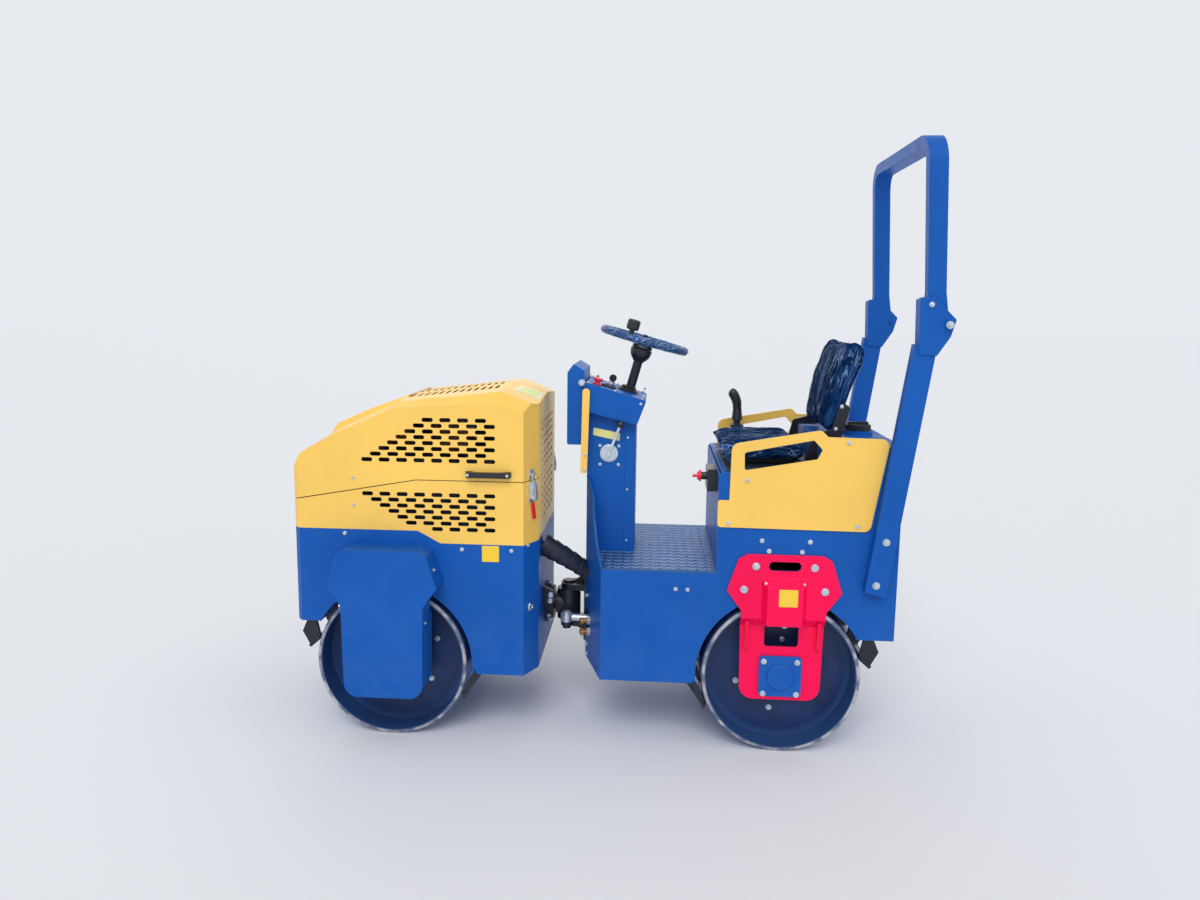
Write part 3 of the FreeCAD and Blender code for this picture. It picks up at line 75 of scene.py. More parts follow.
def localX(worldX):
    return (worldX - rearAxle.x) / mm


frontDrumX = localX(frontAxle.x)
print("frame loaded:", len(frame["nodes"]), "nodes")


class Graph:
    # a node tree, built step by step; an input takes a plain value or another node's output
    def __init__(self, tree):
        self.tree = tree

    def feed(self, socket, value):
        if isinstance(value, bpy.types.NodeSocket):
            self.tree.links.new(value, socket)
        else:
            socket.default_value = value

    def node(self, kind, inputs=None, **settings):
        made = self.tree.nodes.new(kind)
        for key, value in settings.items():
            setattr(made, key, value)
        for key, value in (inputs or {}).items():
            self.feed(made.inputs[key], value)
        return made

    def sum(self, operation, *values):
        return self.node("ShaderNodeMath", dict(enumerate(values)), operation=operation).outputs[0]

    def product(self, first, second):
        return self.sum("MULTIPLY", first, second)


# materials

def tone(red, green, blue):
    def linear(value):
        value = value / 255
        return value / 12.92 if value <= 0.04045 else ((value + 0.055) / 1.055) ** 2.4
    return (linear(red), linear(green), linear(blue), 1.0)


def shade(colour, share, more=0.0):
    return tuple(min(1.0, c * share + more) for c in colour[:3]) + (1.0,)


class Recipe(Graph):
    # a material that follows the place on the object
    sockets = {"metal": "Metallic", "rough": "Roughness", "coat": "Coat Weight", "coatRough": "Coat Roughness",
               "specular": "Specular IOR Level", "alpha": "Alpha", "colour": "Base Color", "normal": "Normal"}

    def __init__(self, name):
        self.material = bpy.data.materials.new(name)
        self.material.use_nodes = True
        super().__init__(self.material.node_tree)
        self.shader = self.tree.nodes["Principled BSDF"]
        self.coords = self.node("ShaderNodeTexCoord").outputs["Object"]

    def set(self, **values):
        for key, value in values.items():
            self.feed(self.shader.inputs[self.sockets[key]], value)

    def parts(self):
        return self.node("ShaderNodeSeparateXYZ", {0: self.coords}).outputs

    def stretched(self, scale, lean=0.0, kind="POINT"):
        turn = (0, math.radians(lean), 0)
        return self.node("ShaderNodeMapping", {"Vector": self.coords, "Scale": scale, "Rotation": turn},
                         vector_type=kind).outputs[0]

    def noise(self, scale, detail=3.0, rough=0.5, vector=None, distortion=0.0):
        return self.node("ShaderNodeTexNoise", {
            "Vector": vector or self.coords, "Scale": scale, "Detail": detail, "Roughness": rough,
            "Distortion": distortion}).outputs["Fac"]

    def span(self, value, low, high, newLow=0.0, newHigh=1.0):
        inputs = {"Value": value, "From Min": low, "From Max": high, "To Min": newLow, "To Max": newHigh}
        return self.node("ShaderNodeMapRange", inputs).outputs["Result"]

    def cloud(self, scale, detail, low, high, newLow=0.0, newHigh=1.0, rough=0.5):
        return self.span(self.noise(scale, detail, rough), low, high, newLow, newHigh)

    def ridges(self, value, width):
        # 1 where the value passes its middle, 0 from width on
        offMiddle = self.sum("ABSOLUTE", self.sum("SUBTRACT", value, 0.5))
        return self.span(offMiddle, 0.0, width, 1.0, 0.0)

    def blend(self, factor, first, second):
        made = self.node("ShaderNodeMix", data_type="RGBA")
        for socket, value in zip([s for s in made.inputs if s.enabled], (factor, first, second)):
            self.feed(socket, value)
        return next(s for s in made.outputs if s.enabled)

    def softEdges(self, radius):
        return self.node("ShaderNodeBevel", {"Radius": radius}, samples=6).outputs["Normal"]

    def bump(self, height, strength, distance, under=None):
        inputs = {"Height": height, "Strength": strength, "Distance": distance}
        if under is not None:
            inputs["Normal"] = under
        self.set(normal=self.node("ShaderNodeBump", inputs).outputs["Normal"])


def paintMaterial(name, colour, edge, rough, coat, specular, dust):
    recipe = Recipe(name)
    base = tone(*colour)
    painted = recipe.blend(recipe.cloud(2.6, 5.0, 0.35, 0.68, rough=0.55), shade(base, 0.9), base)
    # pale dust that thickens towards the ground and in patches
    low = recipe.span(recipe.parts()["Z"], 0.75, 0.15)
    settled = recipe.product(recipe.product(low, recipe.cloud(9.0, 6.0, 0.42, 0.75, rough=0.65)), dust)
    painted = recipe.blend(settled, painted, tone(150, 168, 196))
    # edges painted paler where the rounded normal leaves the true one: part rubbed wear, part painted edge
    # highlight
    rounded = recipe.softEdges(0.0022)
    true = recipe.node("ShaderNodeNewGeometry").outputs["Normal"]
    dot = recipe.node("ShaderNodeVectorMath", {0: rounded, 1: true}, operation="DOT_PRODUCT").outputs["Value"]
    rubbedAndHighlit = recipe.product(recipe.span(recipe.sum("SUBTRACT", 1.0, dot), 0.0, 0.2), 0.45)
    recipe.set(colour=recipe.blend(rubbedAndHighlit, painted, tone(*edge)), coat=coat, coatRough=0.12, specular=specular,
               rough=recipe.cloud(14.0, 4.0, 0.3, 0.7, rough - 0.05, rough + 0.07))
    recipe.bump(recipe.noise(420.0, 2.0), 0.06, 0.0006, rounded)
    return recipe.material


def drumMaterial(name, axle):
    # dark painted web, bare worn steel on the rolling face and the rims
    recipe = Recipe(name)
    x, y, z = recipe.parts()
    dx = recipe.sum("SUBTRACT", x, axle.x)
    dz = recipe.sum("SUBTRACT", z, axle.z)
    radius = recipe.sum("SQRT", recipe.sum("ADD", recipe.product(dx, dx), recipe.product(dz, dz)))
    web = recipe.blend(recipe.cloud(7.0, 6.0, 0.35, 0.7, rough=0.6), tone(2, 34, 84), tone(14, 56, 116))
    colour = recipe.blend(recipe.span(radius, 0.236, 0.268), web, tone(40, 76, 128))
    # long streaks round the rolling face
    angle = recipe.sum("ARCTAN2", dz, dx)
    streaks = recipe.node("ShaderNodeCombineXYZ", {0: recipe.product(angle, 1.6), 1: recipe.product(y, 60.0)})
    lines = recipe.noise(1.4, 6.0, 0.7, streaks.outputs[0])
    steel = recipe.blend(recipe.span(lines, 0.3, 0.7), tone(48, 84, 148), tone(96, 134, 196))
    rolling = recipe.span(radius, 0.2772, 0.2788)
    side = recipe.span(recipe.sum("ABSOLUTE", y), 0.3445, 0.3475)
    rim = recipe.product(recipe.span(radius, 0.266, 0.27), side)
    worn = recipe.blend(recipe.cloud(22.0, 5.0, 0.4, 0.6), tone(112, 118, 138), tone(200, 196, 196))
    recipe.set(colour=recipe.blend(rim, recipe.blend(rolling, colour, steel), worn),
               metal=recipe.product(recipe.sum("MAXIMUM", rim, rolling), 0.55),
               rough=recipe.span(lines, 0.2, 0.8, 0.34, 0.52))
    recipe.bump(lines, 0.12, 0.0006, recipe.softEdges(0.002))
    return recipe.material


def plainMaterial(name, colours, patches, rough, relief, edge, **values):
    # two colours in patches, a roughness that wanders where it has a cloud, and fine relief
    recipe = Recipe(name)
    wandering = rough if isinstance(rough, float) else recipe.cloud(*rough)
    recipe.set(colour=recipe.blend(recipe.cloud(*patches), *colours), rough=wandering, **values)
    grain, strength, distance = relief
    recipe.bump(recipe.noise(*grain), strength, distance, recipe.softEdges(edge))
    return recipe.material


def metalMaterial(name, colour, rough, metal=0.9, scratch=0.1, grain=160.0):
    base = tone(*colour)
    return plainMaterial(name, (shade(base, 0.72), base), (grain * 0.2, 4.0, 0.3, 0.7),
                         (grain, 3.0, 0.3, 0.7, rough - 0.07, rough + 0.1),
                         ((grain * 2.0, 2.0), scratch, 0.0004), 0.0012, metal=metal)


def plasticMaterial(name, colour, rough, grain, strength, coat=0.0):
    base = tone(*colour)
    return plainMaterial(name, (base, shade(base, 1.5, 0.004)), (11.0, 5.0, 0.35, 0.75),
                         (30.0, 3.0, 0.3, 0.7, rough - 0.06, rough + 0.08),
                         ((grain, 2.0), strength, 0.0005), 0.0015, coat=coat)


def labelMaterial(name, colour):
    base = tone(*colour)
    return plainMaterial(name, (base, shade(base, 0.86, 0.05)), (30.0, 4.0, 0.35, 0.7),
                         (60.0, 3.0, 0.3, 0.7, 0.24, 0.36), ((300.0, 2.0), 0.04, 0.0004), 0.0008)


def vinylMaterial(name):
    # dark vinyl under tight clear film: fine grain under long soft creases, and a painted highlight along each
    # crease ridge
    recipe = Recipe(name)
    crease = recipe.noise(14.0, 5.0, 0.6, recipe.stretched((1.0, 2.6, 1.0)), 1.6)
    base = recipe.blend(recipe.cloud(6.0, 4.0, 0.35, 0.7), tone(1, 18, 44), tone(6, 36, 80))
    # painted highlight: pale blue along the crease ridges, since the vinyl itself has no specular reflection
    pale = recipe.product(recipe.ridges(crease, 0.09), 0.12)
    recipe.set(colour=recipe.blend(pale, base, tone(70, 116, 176)), coat=0.0, specular=0.0,
               rough=recipe.cloud(40.0, 3.0, 0.3, 0.7, 0.26, 0.42))
    recipe.bump(recipe.sum("ADD", crease, recipe.product(recipe.noise(650.0, 2.0), 0.06)), 0.4, 0.005)
    return recipe.material


def filmMaterial(name, lean, reach, scale=24.0, cover=(0.02, 0.62)):
    # thin clear wrapping whose long folds carry painted highlights: milky pale ridges and broad pale streaks
    # stand in for the film's glints; lean turns the folds, reach stretches them
    recipe = Recipe(name)
    stretched = recipe.stretched(reach, lean, "TEXTURE")
    fold = recipe.noise(scale, 3.0, 0.5, stretched, 0.8)
    foldHighlight = recipe.product(recipe.ridges(fold, 0.03), recipe.cloud(8.0, 3.0, 0.4, 0.56))
    streakHighlight = recipe.span(recipe.noise(scale * 0.6, 2.0, 0.5, stretched, 0.4), 0.54, 0.66)
    shown = recipe.sum("MAXIMUM", foldHighlight, recipe.product(streakHighlight, 0.42))
    recipe.set(colour=recipe.blend(foldHighlight, tone(60, 118, 200), tone(176, 208, 250)),
               alpha=recipe.span(shown, 0.0, 1.0, *cover), rough=0.22, specular=0.06, coat=0.02, coatRough=0.08)
    recipe.bump(fold, 0.5, 0.005)
    return recipe.material


# the second colour is the paler edge colour: rubbed wear and a painted edge highlight
navyPaint = paintMaterial("navyPaint", (18, 91, 180), (70, 130, 214), 0.42, 0.03, 0.15, 0.07)
yellowPaint = paintMaterial("yellowPaint", (255, 208, 100), (255, 232, 170), 0.42, 0.08, 0.35, 0.03)
redPaint = paintMaterial("redPaint", (255, 0, 84), (255, 110, 150), 0.34, 0.1, 0.18, 0.0)
blackMetal = paintMaterial("blackMetal", (10, 17, 34), (60, 78, 112), 0.42, 0.1, 0.45, 0.12)
rearDrumSteel = drumMaterial("rearDrumSteel", rearAxle)
frontDrumSteel = drumMaterial("frontDrumSteel", frontAxle)
zinc = metalMaterial("zinc", (214, 226, 238), 0.32, 0.7, 0.12)
chrome = metalMaterial("chrome", (214, 224, 236), 0.14, 0.95, 0.04)
treadSteel = metalMaterial("treadSteel", (58, 102, 156), 0.45, 0.4, 0.15)
# tread bars: worn bare tops, also painted lighter to stand in for the plate's bright reflection
treadWorn = metalMaterial("treadWorn", (132, 172, 224), 0.35, 0.5, 0.15)
brass = metalMaterial("brass", (206, 150, 96), 0.3, 0.85, 0.08)
rustySteel = metalMaterial("rustySteel", (128, 88, 54), 0.6, 0.25, 0.3, 90.0)
engineGrey = metalMaterial("engineGrey", (62, 70, 80), 0.5, 0.4, 0.25, 90.0)
castIron = plainMaterial("castIron", (tone(26, 30, 38), tone(60, 70, 88)), (16.0, 6.0, 0.35, 0.7), 0.6,
                         ((120.0, 5.0, 0.65), 0.5, 0.001), 0.003)
blackPlastic = plasticMaterial("blackPlastic", (15, 19, 27), 0.4, 320.0, 0.15, 0.1)
blackRubber = plasticMaterial("blackRubber", (16, 26, 46), 0.5, 240.0, 0.3)
redPlastic = plasticMaterial("redPlastic", (222, 22, 50), 0.34, 300.0, 0.06, 0.3)
whitePlastic = plasticMaterial("whitePlastic", (220, 228, 238), 0.36, 300.0, 0.06, 0.2)
dialGlass = plasticMaterial("dialGlass", (8, 12, 20), 0.08, 200.0, 0.0, 1.0)
greenLens = plasticMaterial("greenLens", (30, 150, 90), 0.2, 200.0, 0.02, 0.6)
seatVinyl = vinylMaterial("seatVinyl")
# the wrappings' pale folds and streaks are painted highlights; the rim's wrapping is more opaque, so its painted
# highlight shows more
backFilmClear = filmMaterial("backFilmClear", 18.0, (0.34, 0.6, 2.6))
cushionFilmClear = filmMaterial("cushionFilmClear", -3.0, (1.8, 0.5, 0.6))
clearFilm = filmMaterial("clearFilm", 0.0, (0.8, 0.8, 0.5), 30.0)
rimFilm = filmMaterial("rimFilm", 0.0, (0.9, 0.9, 0.4), 34.0, (0.3, 0.85))
labelYellow = labelMaterial("labelYellow", (250, 208, 40))
labelPale = labelMaterial("labelPale", (236, 232, 150))
labelGreen = labelMaterial("labelGreen", (206, 216, 66))
labelWhite = labelMaterial("labelWhite", (226, 230, 224))

cadFinishes = {
    "slate_paint": navyPaint, "yellow_paint": yellowPaint, "red_paint": redPaint, "tread_plate": treadSteel,
    "black_plastic": blackPlastic, "black_metal": blackMetal, "cast_iron": castIron, "bright_steel": zinc,
    "seat_vinyl": seatVinyl, "boot_rubber": blackRubber,
}
ownFinishes = {"front_drum": frontDrumSteel, "rear_drum": rearDrumSteel, "console_shield": navyPaint}
for part in frame["record"]["subparts"]:
    finish = ownFinishes.get(part["node"]) or cadFinishes[part["material_slot"]]
    for slot in frame["nodes"][part["node"]].material_slots:
        slot.material = finish
print("materials made:", len(bpy.data.materials))


# making pieces

def linked(name, data):
    made = bpy.data.objects.new(name, data)
    bpy.context.scene.collection.objects.link(made)
    return made


def seated(piece, body):
    if body:
        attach(piece, body)
    return piece


def freeze(piece):
    # the evaluated result replaces the mesh and the modifiers go
    graph = bpy.context.evaluated_depsgraph_get()
    result = bpy.data.meshes.new_from_object(piece.evaluated_get(graph))
    materials = list(piece.data.materials)
    piece.modifiers.clear()
    piece.data = result
    if not list(result.materials):
        for material in materials:
            result.materials.append(material)
    return piece


def smooth(piece, angle):
    piece.data.shade_smooth()
    piece.data.set_sharp_from_angle(angle=math.radians(angle))


def newPiece(name, shape, materials, body, sharp=None, edge=None):
    # sharp is the angle from which an edge stays sharp; edge is a rounding's width, steps and least angle
    if isinstance(shape, bmesh.types.BMesh):
        mesh = bpy.data.meshes.new(name)
        shape.to_mesh(mesh)
        shape.free()
    else:
        mesh = shape
        mesh.materials.clear()
    piece = linked(name, mesh)
    for material in materials if isinstance(materials, list) else [materials]:
        mesh.materials.append(material)
    seated(piece, body)
    if sharp:
        smooth(piece, sharp)
    if edge:
        bevel = piece.modifiers.new("soft edges", "BEVEL")
        bevel.width = edge[0] * mm
        bevel.segments = edge[1]
        bevel.limit_method = "ANGLE"
        bevel.angle_limit = math.radians(edge[2])
        freeze(piece)
    return piece


def finished(shape, faces, mark):
    for face in faces:
        face.material_index = mark
    bmesh.ops.recalc_face_normals(shape, faces=faces)


def prism(shape, outline, depth, mark=0):
    # closed prism: the outline's corners pushed along depth
    first = [shape.verts.new(p) for p in outline]
    second = [shape.verts.new(Vector(p) + Vector(depth)) for p in outline]
    faces = [shape.faces.new(first), shape.faces.new(second[::-1])]
    for index in range(len(first)):
        after = (index + 1) % len(first)
        faces.append(shape.faces.new([first[after], first[index], second[index], second[after]]))
    finished(shape, faces, mark)


def circle(shape, centre, side, up, radius, segments):
    angles = [2 * math.pi * i / segments for i in range(segments)]
    return [shape.verts.new(centre + (side * math.cos(a) + up * math.sin(a)) * radius * mm) for a in angles]


def turned(shape, origin, axis, profile, segments=24, mark=0):
    # profile of (distance along the axis, radius), turned about the axis into a closed form
    axis = Vector(axis).normalized()
    side = axis.orthogonal().normalized()
    up = axis.cross(side)
    rings = []
    for along, radius in profile:
        centre = Vector(origin) + axis * along * mm
        rings.append(circle(shape, centre, side, up, radius, segments) if radius else [shape.verts.new(centre)])
    faces = []
    for lower, upper in zip(rings, rings[1:]):
        for index in range(segments):
            after = (index + 1) % segments
            corners = [lower[index % len(lower)], upper[index % len(upper)],
                       upper[after % len(upper)], lower[after % len(lower)]]
            corners = list(dict.fromkeys(corners))
            if len(corners) > 2:
                faces.append(shape.faces.new(corners))
    faces += [shape.faces.new(ring) for ring in (rings[0], rings[-1]) if len(ring) > 1]
    finished(shape, faces, mark)


def skinned(shape, loops, mark=0, endless=False):
    # faces from loop to loop; the ends are closed, or else the last loop joins the first
    faces = []
    for lower, upper in zip(loops, loops[1:] + loops[:1] if endless else loops[1:]):
        for index in range(len(lower)):
            after = (index + 1) % len(lower)
            faces.append(shape.faces.new([lower[index], lower[after], upper[after], upper[index]]))
    if not endless:
        faces += [shape.faces.new(loops[0][::-1]), shape.faces.new(loops[-1])]
    finished(shape, faces, mark)


def tube(shape, route, radius, segments=12, mark=0, endless=False):
    # round tube along a route of points; radius may change from point to point
    count = len(route)
    radii = radius if isinstance(radius, list) else [radius] * count
    rings, side = [], None
    for index, point in enumerate(route):
        if endless:
            direction = route[(index + 1) % count] - route[index - 1]
        else:
            direction = route[min(index + 1, count - 1)] - route[max(index - 1, 0)]
        direction.normalize()
        side = side or direction.orthogonal().normalized()
        side = (side - direction * side.dot(direction)).normalized()
        rings.append(circle(shape, point, side, direction.cross(side), radii[index], segments))
    skinned(shape, rings, mark, endless)


def curved(points, steps):
    # smooth run through a few chosen points
    run = [points[0]] + points + [points[-1]]
    result = []
    for p0, p1, p2, p3 in zip(run, run[1:], run[2:], run[3:]):
        for step in range(steps):
            t = step / steps
            result.append(0.5 * (2 * p1 + (p2 - p0) * t + (2 * p0 - 5 * p1 + 4 * p2 - p3) * t * t
                                 + (3 * p1 - p0 - 3 * p2 + p3) * t * t * t))
    return result + [points[-1]]


def rounded(corners, radius, steps=4):
    # outline with each corner rounded
    corners = [Vector(corner) for corner in corners]
    result = []
    for index, here in enumerate(corners):
        start = here + (corners[index - 1] - here).normalized() * radius
        end = here + (corners[(index + 1) % len(corners)] - here).normalized() * radius
        for step in range(steps + 1):
            t = step / steps
            result.append(start * (1 - t) ** 2 + here * 2 * t * (1 - t) + end * t * t)
    return result


class Rule(Graph):
    # a Geometry Nodes tree with a named input for each size and one for the finish
    def __init__(self, name, sizes):
        super().__init__(bpy.data.node_groups.new(name, "GeometryNodeTree"))
        sockets = [("Geometry", "INPUT", "Geometry"), *((label, "INPUT", "Float") for label in sizes),
                   ("Finish", "INPUT", "Material"), ("Geometry", "OUTPUT", "Geometry")]
        for label, way, kind in sockets:
            made = self.tree.interface.new_socket(label, in_out=way, socket_type="NodeSocket" + kind)
            if label in sizes:
                made.default_value = sizes[label]
        self.given = self.node("NodeGroupInput").outputs

    def marked(self, name, kind):
        return self.node("GeometryNodeInputNamedAttribute", {"Name": name}, data_type=kind).outputs["Attribute"]

    def ended(self, geometry):
        real = self.node("GeometryNodeRealizeInstances", {"Geometry": geometry})
        painted = self.node("GeometryNodeSetMaterial",
                            {"Geometry": real.outputs[0], "Material": self.given["Finish"]})
        self.node("NodeGroupOutput", {"Geometry": painted.outputs[0]})
        return self.tree

    def scattered(self, form, axis, scale=(1, 1, 1)):
        # the form on every given point, its axis turned to where the point faces
        aim = self.node("FunctionNodeAlignRotationToVector", {"Vector": self.marked("facing", "FLOAT_VECTOR")},
                        axis=axis)
        return self.ended(self.node("GeometryNodeInstanceOnPoints", {
            "Points": self.given["Geometry"], "Instance": form, "Rotation": aim.outputs[0],
            "Scale": scale}).outputs[0])


def fromNodes(name, tree, points, values, body, slot, edges=(), **marks):
    # runs a Geometry Nodes tree on points with their marks, and keeps the plain mesh
    mesh = bpy.data.meshes.new(name)
    mesh.from_pydata(points, edges, [])
    for label, data in marks.items():
        kind, field = ("FLOAT", "value") if isinstance(data[0], float) else ("FLOAT_VECTOR", "vector")
        for entry, value in zip(mesh.attributes.new(label, kind, "POINT").data, data):
            setattr(entry, field, value)
    piece = linked(name, mesh)
    modifier = piece.modifiers.new("nodes", "NODES")
    modifier.node_group = tree
    for item in tree.interface.items_tree:
        if item.item_type == "SOCKET" and item.in_out == "INPUT" and item.name in values:
            modifier[item.identifier] = values[item.name]
    freeze(piece)
    for attribute in [a for a in piece.data.attributes if a.name in marks]:
        piece.data.attributes.remove(attribute)
    return seated(piece, body)


# bolts: a washer, a hexagon head and a stud end on every point, for a width of 1 across the washer

def boltTree():
    rule = Rule("hex bolts", {"Head Across": 0.72, "Head Height": 0.3, "Washer Radius": 0.5,
                              "Washer Height": 0.08, "Stud Radius": 0.2, "Stud Height": 0.14})
    join = rule.node("GeometryNodeJoinGeometry")
    foot = 0.0
    headRadius = rule.product(rule.given["Head Across"], 0.577)
    for sides, radius, label in ((20, rule.given["Washer Radius"], "Washer Height"),
                                 (6, headRadius, "Head Height"),
                                 (12, rule.given["Stud Radius"], "Stud Height")):
        height = rule.given[label]
        form = rule.node("GeometryNodeMeshCylinder", {"Vertices": sides, "Radius": radius, "Depth": height})
        lift = rule.node("ShaderNodeCombineXYZ", {"Z": rule.sum("ADD", foot, rule.product(height, 0.5))})
        moved = rule.node("GeometryNodeTransform",
                          {"Geometry": form.outputs["Mesh"], "Translation": lift.outputs[0]})
        rule.feed(join.inputs["Geometry"], moved.outputs[0])
        foot = rule.sum("ADD", foot, height)
    return rule.scattered(join.outputs[0], "Z", rule.marked("across", "FLOAT"))


hexBolts = boltTree()


def bolts(name, body, entries):
    # entries of place, direction that the bolt faces, and width across
    places, facing, widths = zip(*entries)
    fromNodes(name, hexBolts, places, {"Finish": zinc}, body, "bright_steel",
              facing=[Vector(direction).normalized() for direction in facing],
              across=[width * mm for width in widths])


near, far, both = (-1,), (1,), (-1, 1)
bodySide, yokeSide, panelSide, hubSide, webSide = 356, 366, 362, 345, 250
postSide, barSide, boxSide, legSide, seatArmSide = 110, 173, 160, 396, 235
yokeBolts = [(-101, 690), (101, 690), (-140, 605), (140, 605)]
hubBolts = [(-59, 335), (59, 335), (-59, 215), (59, 215)]

# rows: sides on which the bolts sit, distance from the middle plane, width across, places (x, z)
boltRows = {
    "rear_frame": [
        (both, bodySide, 17, [(-83, 780), (83, 780), (-57, 743), (57, 743)]),
        (both, bodySide, 15, [(-379, 595), (-337, 594)]),
        (both, panelSide, 15, [(-141, 994), (197, 1132), (-203, 841), (238, 840)]),
        (near, yokeSide, 27, yokeBolts),
        (near, hubSide, 21, hubBolts),
        (both, postSide, 11, [(-564, 1101), (-564, 903), (-563, 706)]),
        (near, postSide, 12, [(-668, 1068), (-597, 1068), (-667, 997), (-598, 997)]),
        (both, barSide, 11, [(-720, 1041), (-719, 984)]),
        (both, boxSide, 10, [(-506, 1262), (-517, 1232)]),
        (both, legSide, 26, [(331, 796), (305, 642)]),
        (both, seatArmSide, 14, [(191, 1243), (174, 1163)]),
    ],
    "front_frame": [
        (both, bodySide, 15, [(-1577, 764), (-1147, 716), (-967, 716)]),
        (both, bodySide, 12, [(-1541, 870)]),
        (far, yokeSide, 27, [(frontDrumX + x, z) for x, z in yokeBolts]),
        (far, hubSide, 21, [(frontDrumX + x, z) for x, z in hubBolts]),
    ],
    "hood": [(both, bodySide, 12, [(-1541, 970)])],
}
for body, rows in boltRows.items():
    bolts(body + "_bolts", body, [(at(x, side * y, z), (0, side, 0), width)
                                  for sides, y, width, places in rows for x, z in places for side in sides])

# bolt circles on the drum webs, which turn with the drums: radius, count, width
for body, drumX in (("rear_roller", 0), ("front_roller", frontDrumX)):
    ring = []
    for radius, count, width in ((158.7, 6, 22), (108, 4, 20)):
        for index in range(count):
            angle = math.radians(-98.3 + 360 * index / count)
            x, z = radius * math.cos(angle), radius * math.sin(angle)
            ring += [(at(drumX + x, side * webSide, 280 + z), (0, side, 0), width) for side in both]
    bolts(body + "_bolts", body, ring)
print("bolts set")


# tread plate: raised bars that meet in zigzag lines across the footwell

def treadTree():
    rule = Rule("tread bars", {"Bar Length": 0.02, "Bar Width": 0.0045, "Bar Height": 0.0012})
    bar = rule.node("GeometryNodeMeshCone",
                    {"Vertices": 8, "Radius Bottom": 0.5, "Radius Top": 0.3, "Depth": 1.0})
    length, width, height = (rule.given["Bar " + label] for label in ("Length", "Width", "Height"))
    size = rule.node("ShaderNodeCombineXYZ", {"X": length, "Y": width, "Z": height})
    shaped = rule.node("GeometryNodeTransform", {"Geometry": bar.outputs["Mesh"], "Scale": size.outputs[0]})
    return rule.scattered(shaped.outputs[0], "X")


tread = {"pitch": 17 * mm, "linePitch": 42 * mm, "slope": 1.05, "margin": 12 * mm,
         "sizes": {"Finish": treadWorn, "Bar Length": 0.0262, "Bar Width": 0.0095, "Bar Height": 0.002}}
plateLow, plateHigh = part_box("floor_plate")
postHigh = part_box("console_post")[1]
margin = tread["margin"]
spots, facing = [], []
for row in range(int((plateHigh.x - plateLow.x) / tread["pitch"]) + 1):
    for column in range(int((plateHigh.y - plateLow.y) / tread["linePitch"]) + 1):
        x = plateLow.x + (row + 0.5) * tread["pitch"]
        y = plateLow.y + (column + 0.5) * tread["linePitch"]
        # the front edge runs slantwise from the middle to both sides
        slantX = rearAxle.x - 0.645 - max(0.0, 0.356 - abs(y)) * 0.289 + 0.0065
        if x < slantX + margin or x > plateHigh.x - margin or abs(y) > plateHigh.y - margin:
            continue
        if x < postHigh.x + margin and abs(y) < postHigh.y + margin:
            continue
        spots.append(Vector((x, y, plateHigh.z + 0.0004)))
        facing.append((1, tread["slope"] if row % 2 else -tread["slope"], 0))
treadBars = treadTree()
fromNodes("tread_bars", treadBars, spots, tread["sizes"], "rear_frame", "tread_plate", facing=facing)
print("tread plate laid:", len(spots), "bars")


# seat pads: crowned closed forms, swelled by cloth pressure, then piped along their edges

def padShape(outline, halfWidth, roundEdge, sections=26):
    # outline (x, z) lofted across the machine, drawn in near both ends so that the edges are round
    shape = bmesh.new()
    ring = rounded(outline, 22.0, 5)
    middle = sum(ring, Vector((0, 0))) / len(ring)
    loops = []
    for index in range(sections + 1):
        y = -halfWidth + 2 * halfWidth * index / sections
        y = halfWidth * math.sin(math.pi / 2 * y / halfWidth)
        beyond = max(0.0, abs(y) - (halfWidth - roundEdge)) / roundEdge
        inset = roundEdge * (1 - math.sqrt(max(0.0, 1 - beyond * beyond))) * 0.85 + 2.0
        loop = []
        for corner in ring:
            inward = middle - corner
            inward = inward / max(1.0, inward.length)
            moved = corner + inward * inset
            loop.append(shape.verts.new(at(moved.x, y, moved.y)))
        loops.append(loop)
    skinned(shape, loops)
    return shape


def swelled(piece, voxel, pressure, cap, frames=20):
    # cloth pressure crowns the pad; no point moves further than cap
    remesh = piece.modifiers.new("even", "REMESH")
    remesh.mode = "VOXEL"
    remesh.voxel_size = voxel
    remesh.use_smooth_shade = True
    freeze(piece)
    start = [v.co.copy() for v in piece.data.vertices]
    cloth = piece.modifiers.new("cloth", "CLOTH")
    settings = {"use_pressure": True, "uniform_pressure_force": pressure, "tension_stiffness": 12.0,
                "compression_stiffness": 12.0, "bending_stiffness": 3.0}
    for key, value in settings.items():
        setattr(cloth.settings, key, value)
    cloth.settings.effector_weights.gravity = 0.0
    cloth.point_cache.frame_start = 1
    cloth.point_cache.frame_end = frames
    scene = bpy.context.scene
    for number in range(1, frames + 1):
        scene.frame_set(number)
    graph = bpy.context.evaluated_depsgraph_get()
    moved = [v.co.copy() for v in piece.evaluated_get(graph).data.vertices]
    piece.modifiers.clear()
    scene.frame_set(1)
    for vertex, before, after in zip(piece.data.vertices, start, moved):
        step = after - before
        vertex.co = before + step * min(1.0, cap / max(step.length, 1e-9))
    relax = piece.modifiers.new("relax", "SMOOTH")
    relax.factor = 0.5
    relax.iterations = 4
    freeze(piece)


def piping(shape, surface, outline, y, radius):
    # welt along one edge of a pad, resting on its skin
    route = []
    for corner in rounded(outline, 24.0, 6):
        spot, normal = surface.find_nearest(at(corner.x, y, corner.y))[:2]
        route.append(spot + normal * radius * mm * 0.35)
    eased = [(before + here * 2 + after) / 4
             for before, here, after in zip(route[-1:] + route, route, route[1:] + route[:1])]
    tube(shape, eased, radius, 8, endless=True)


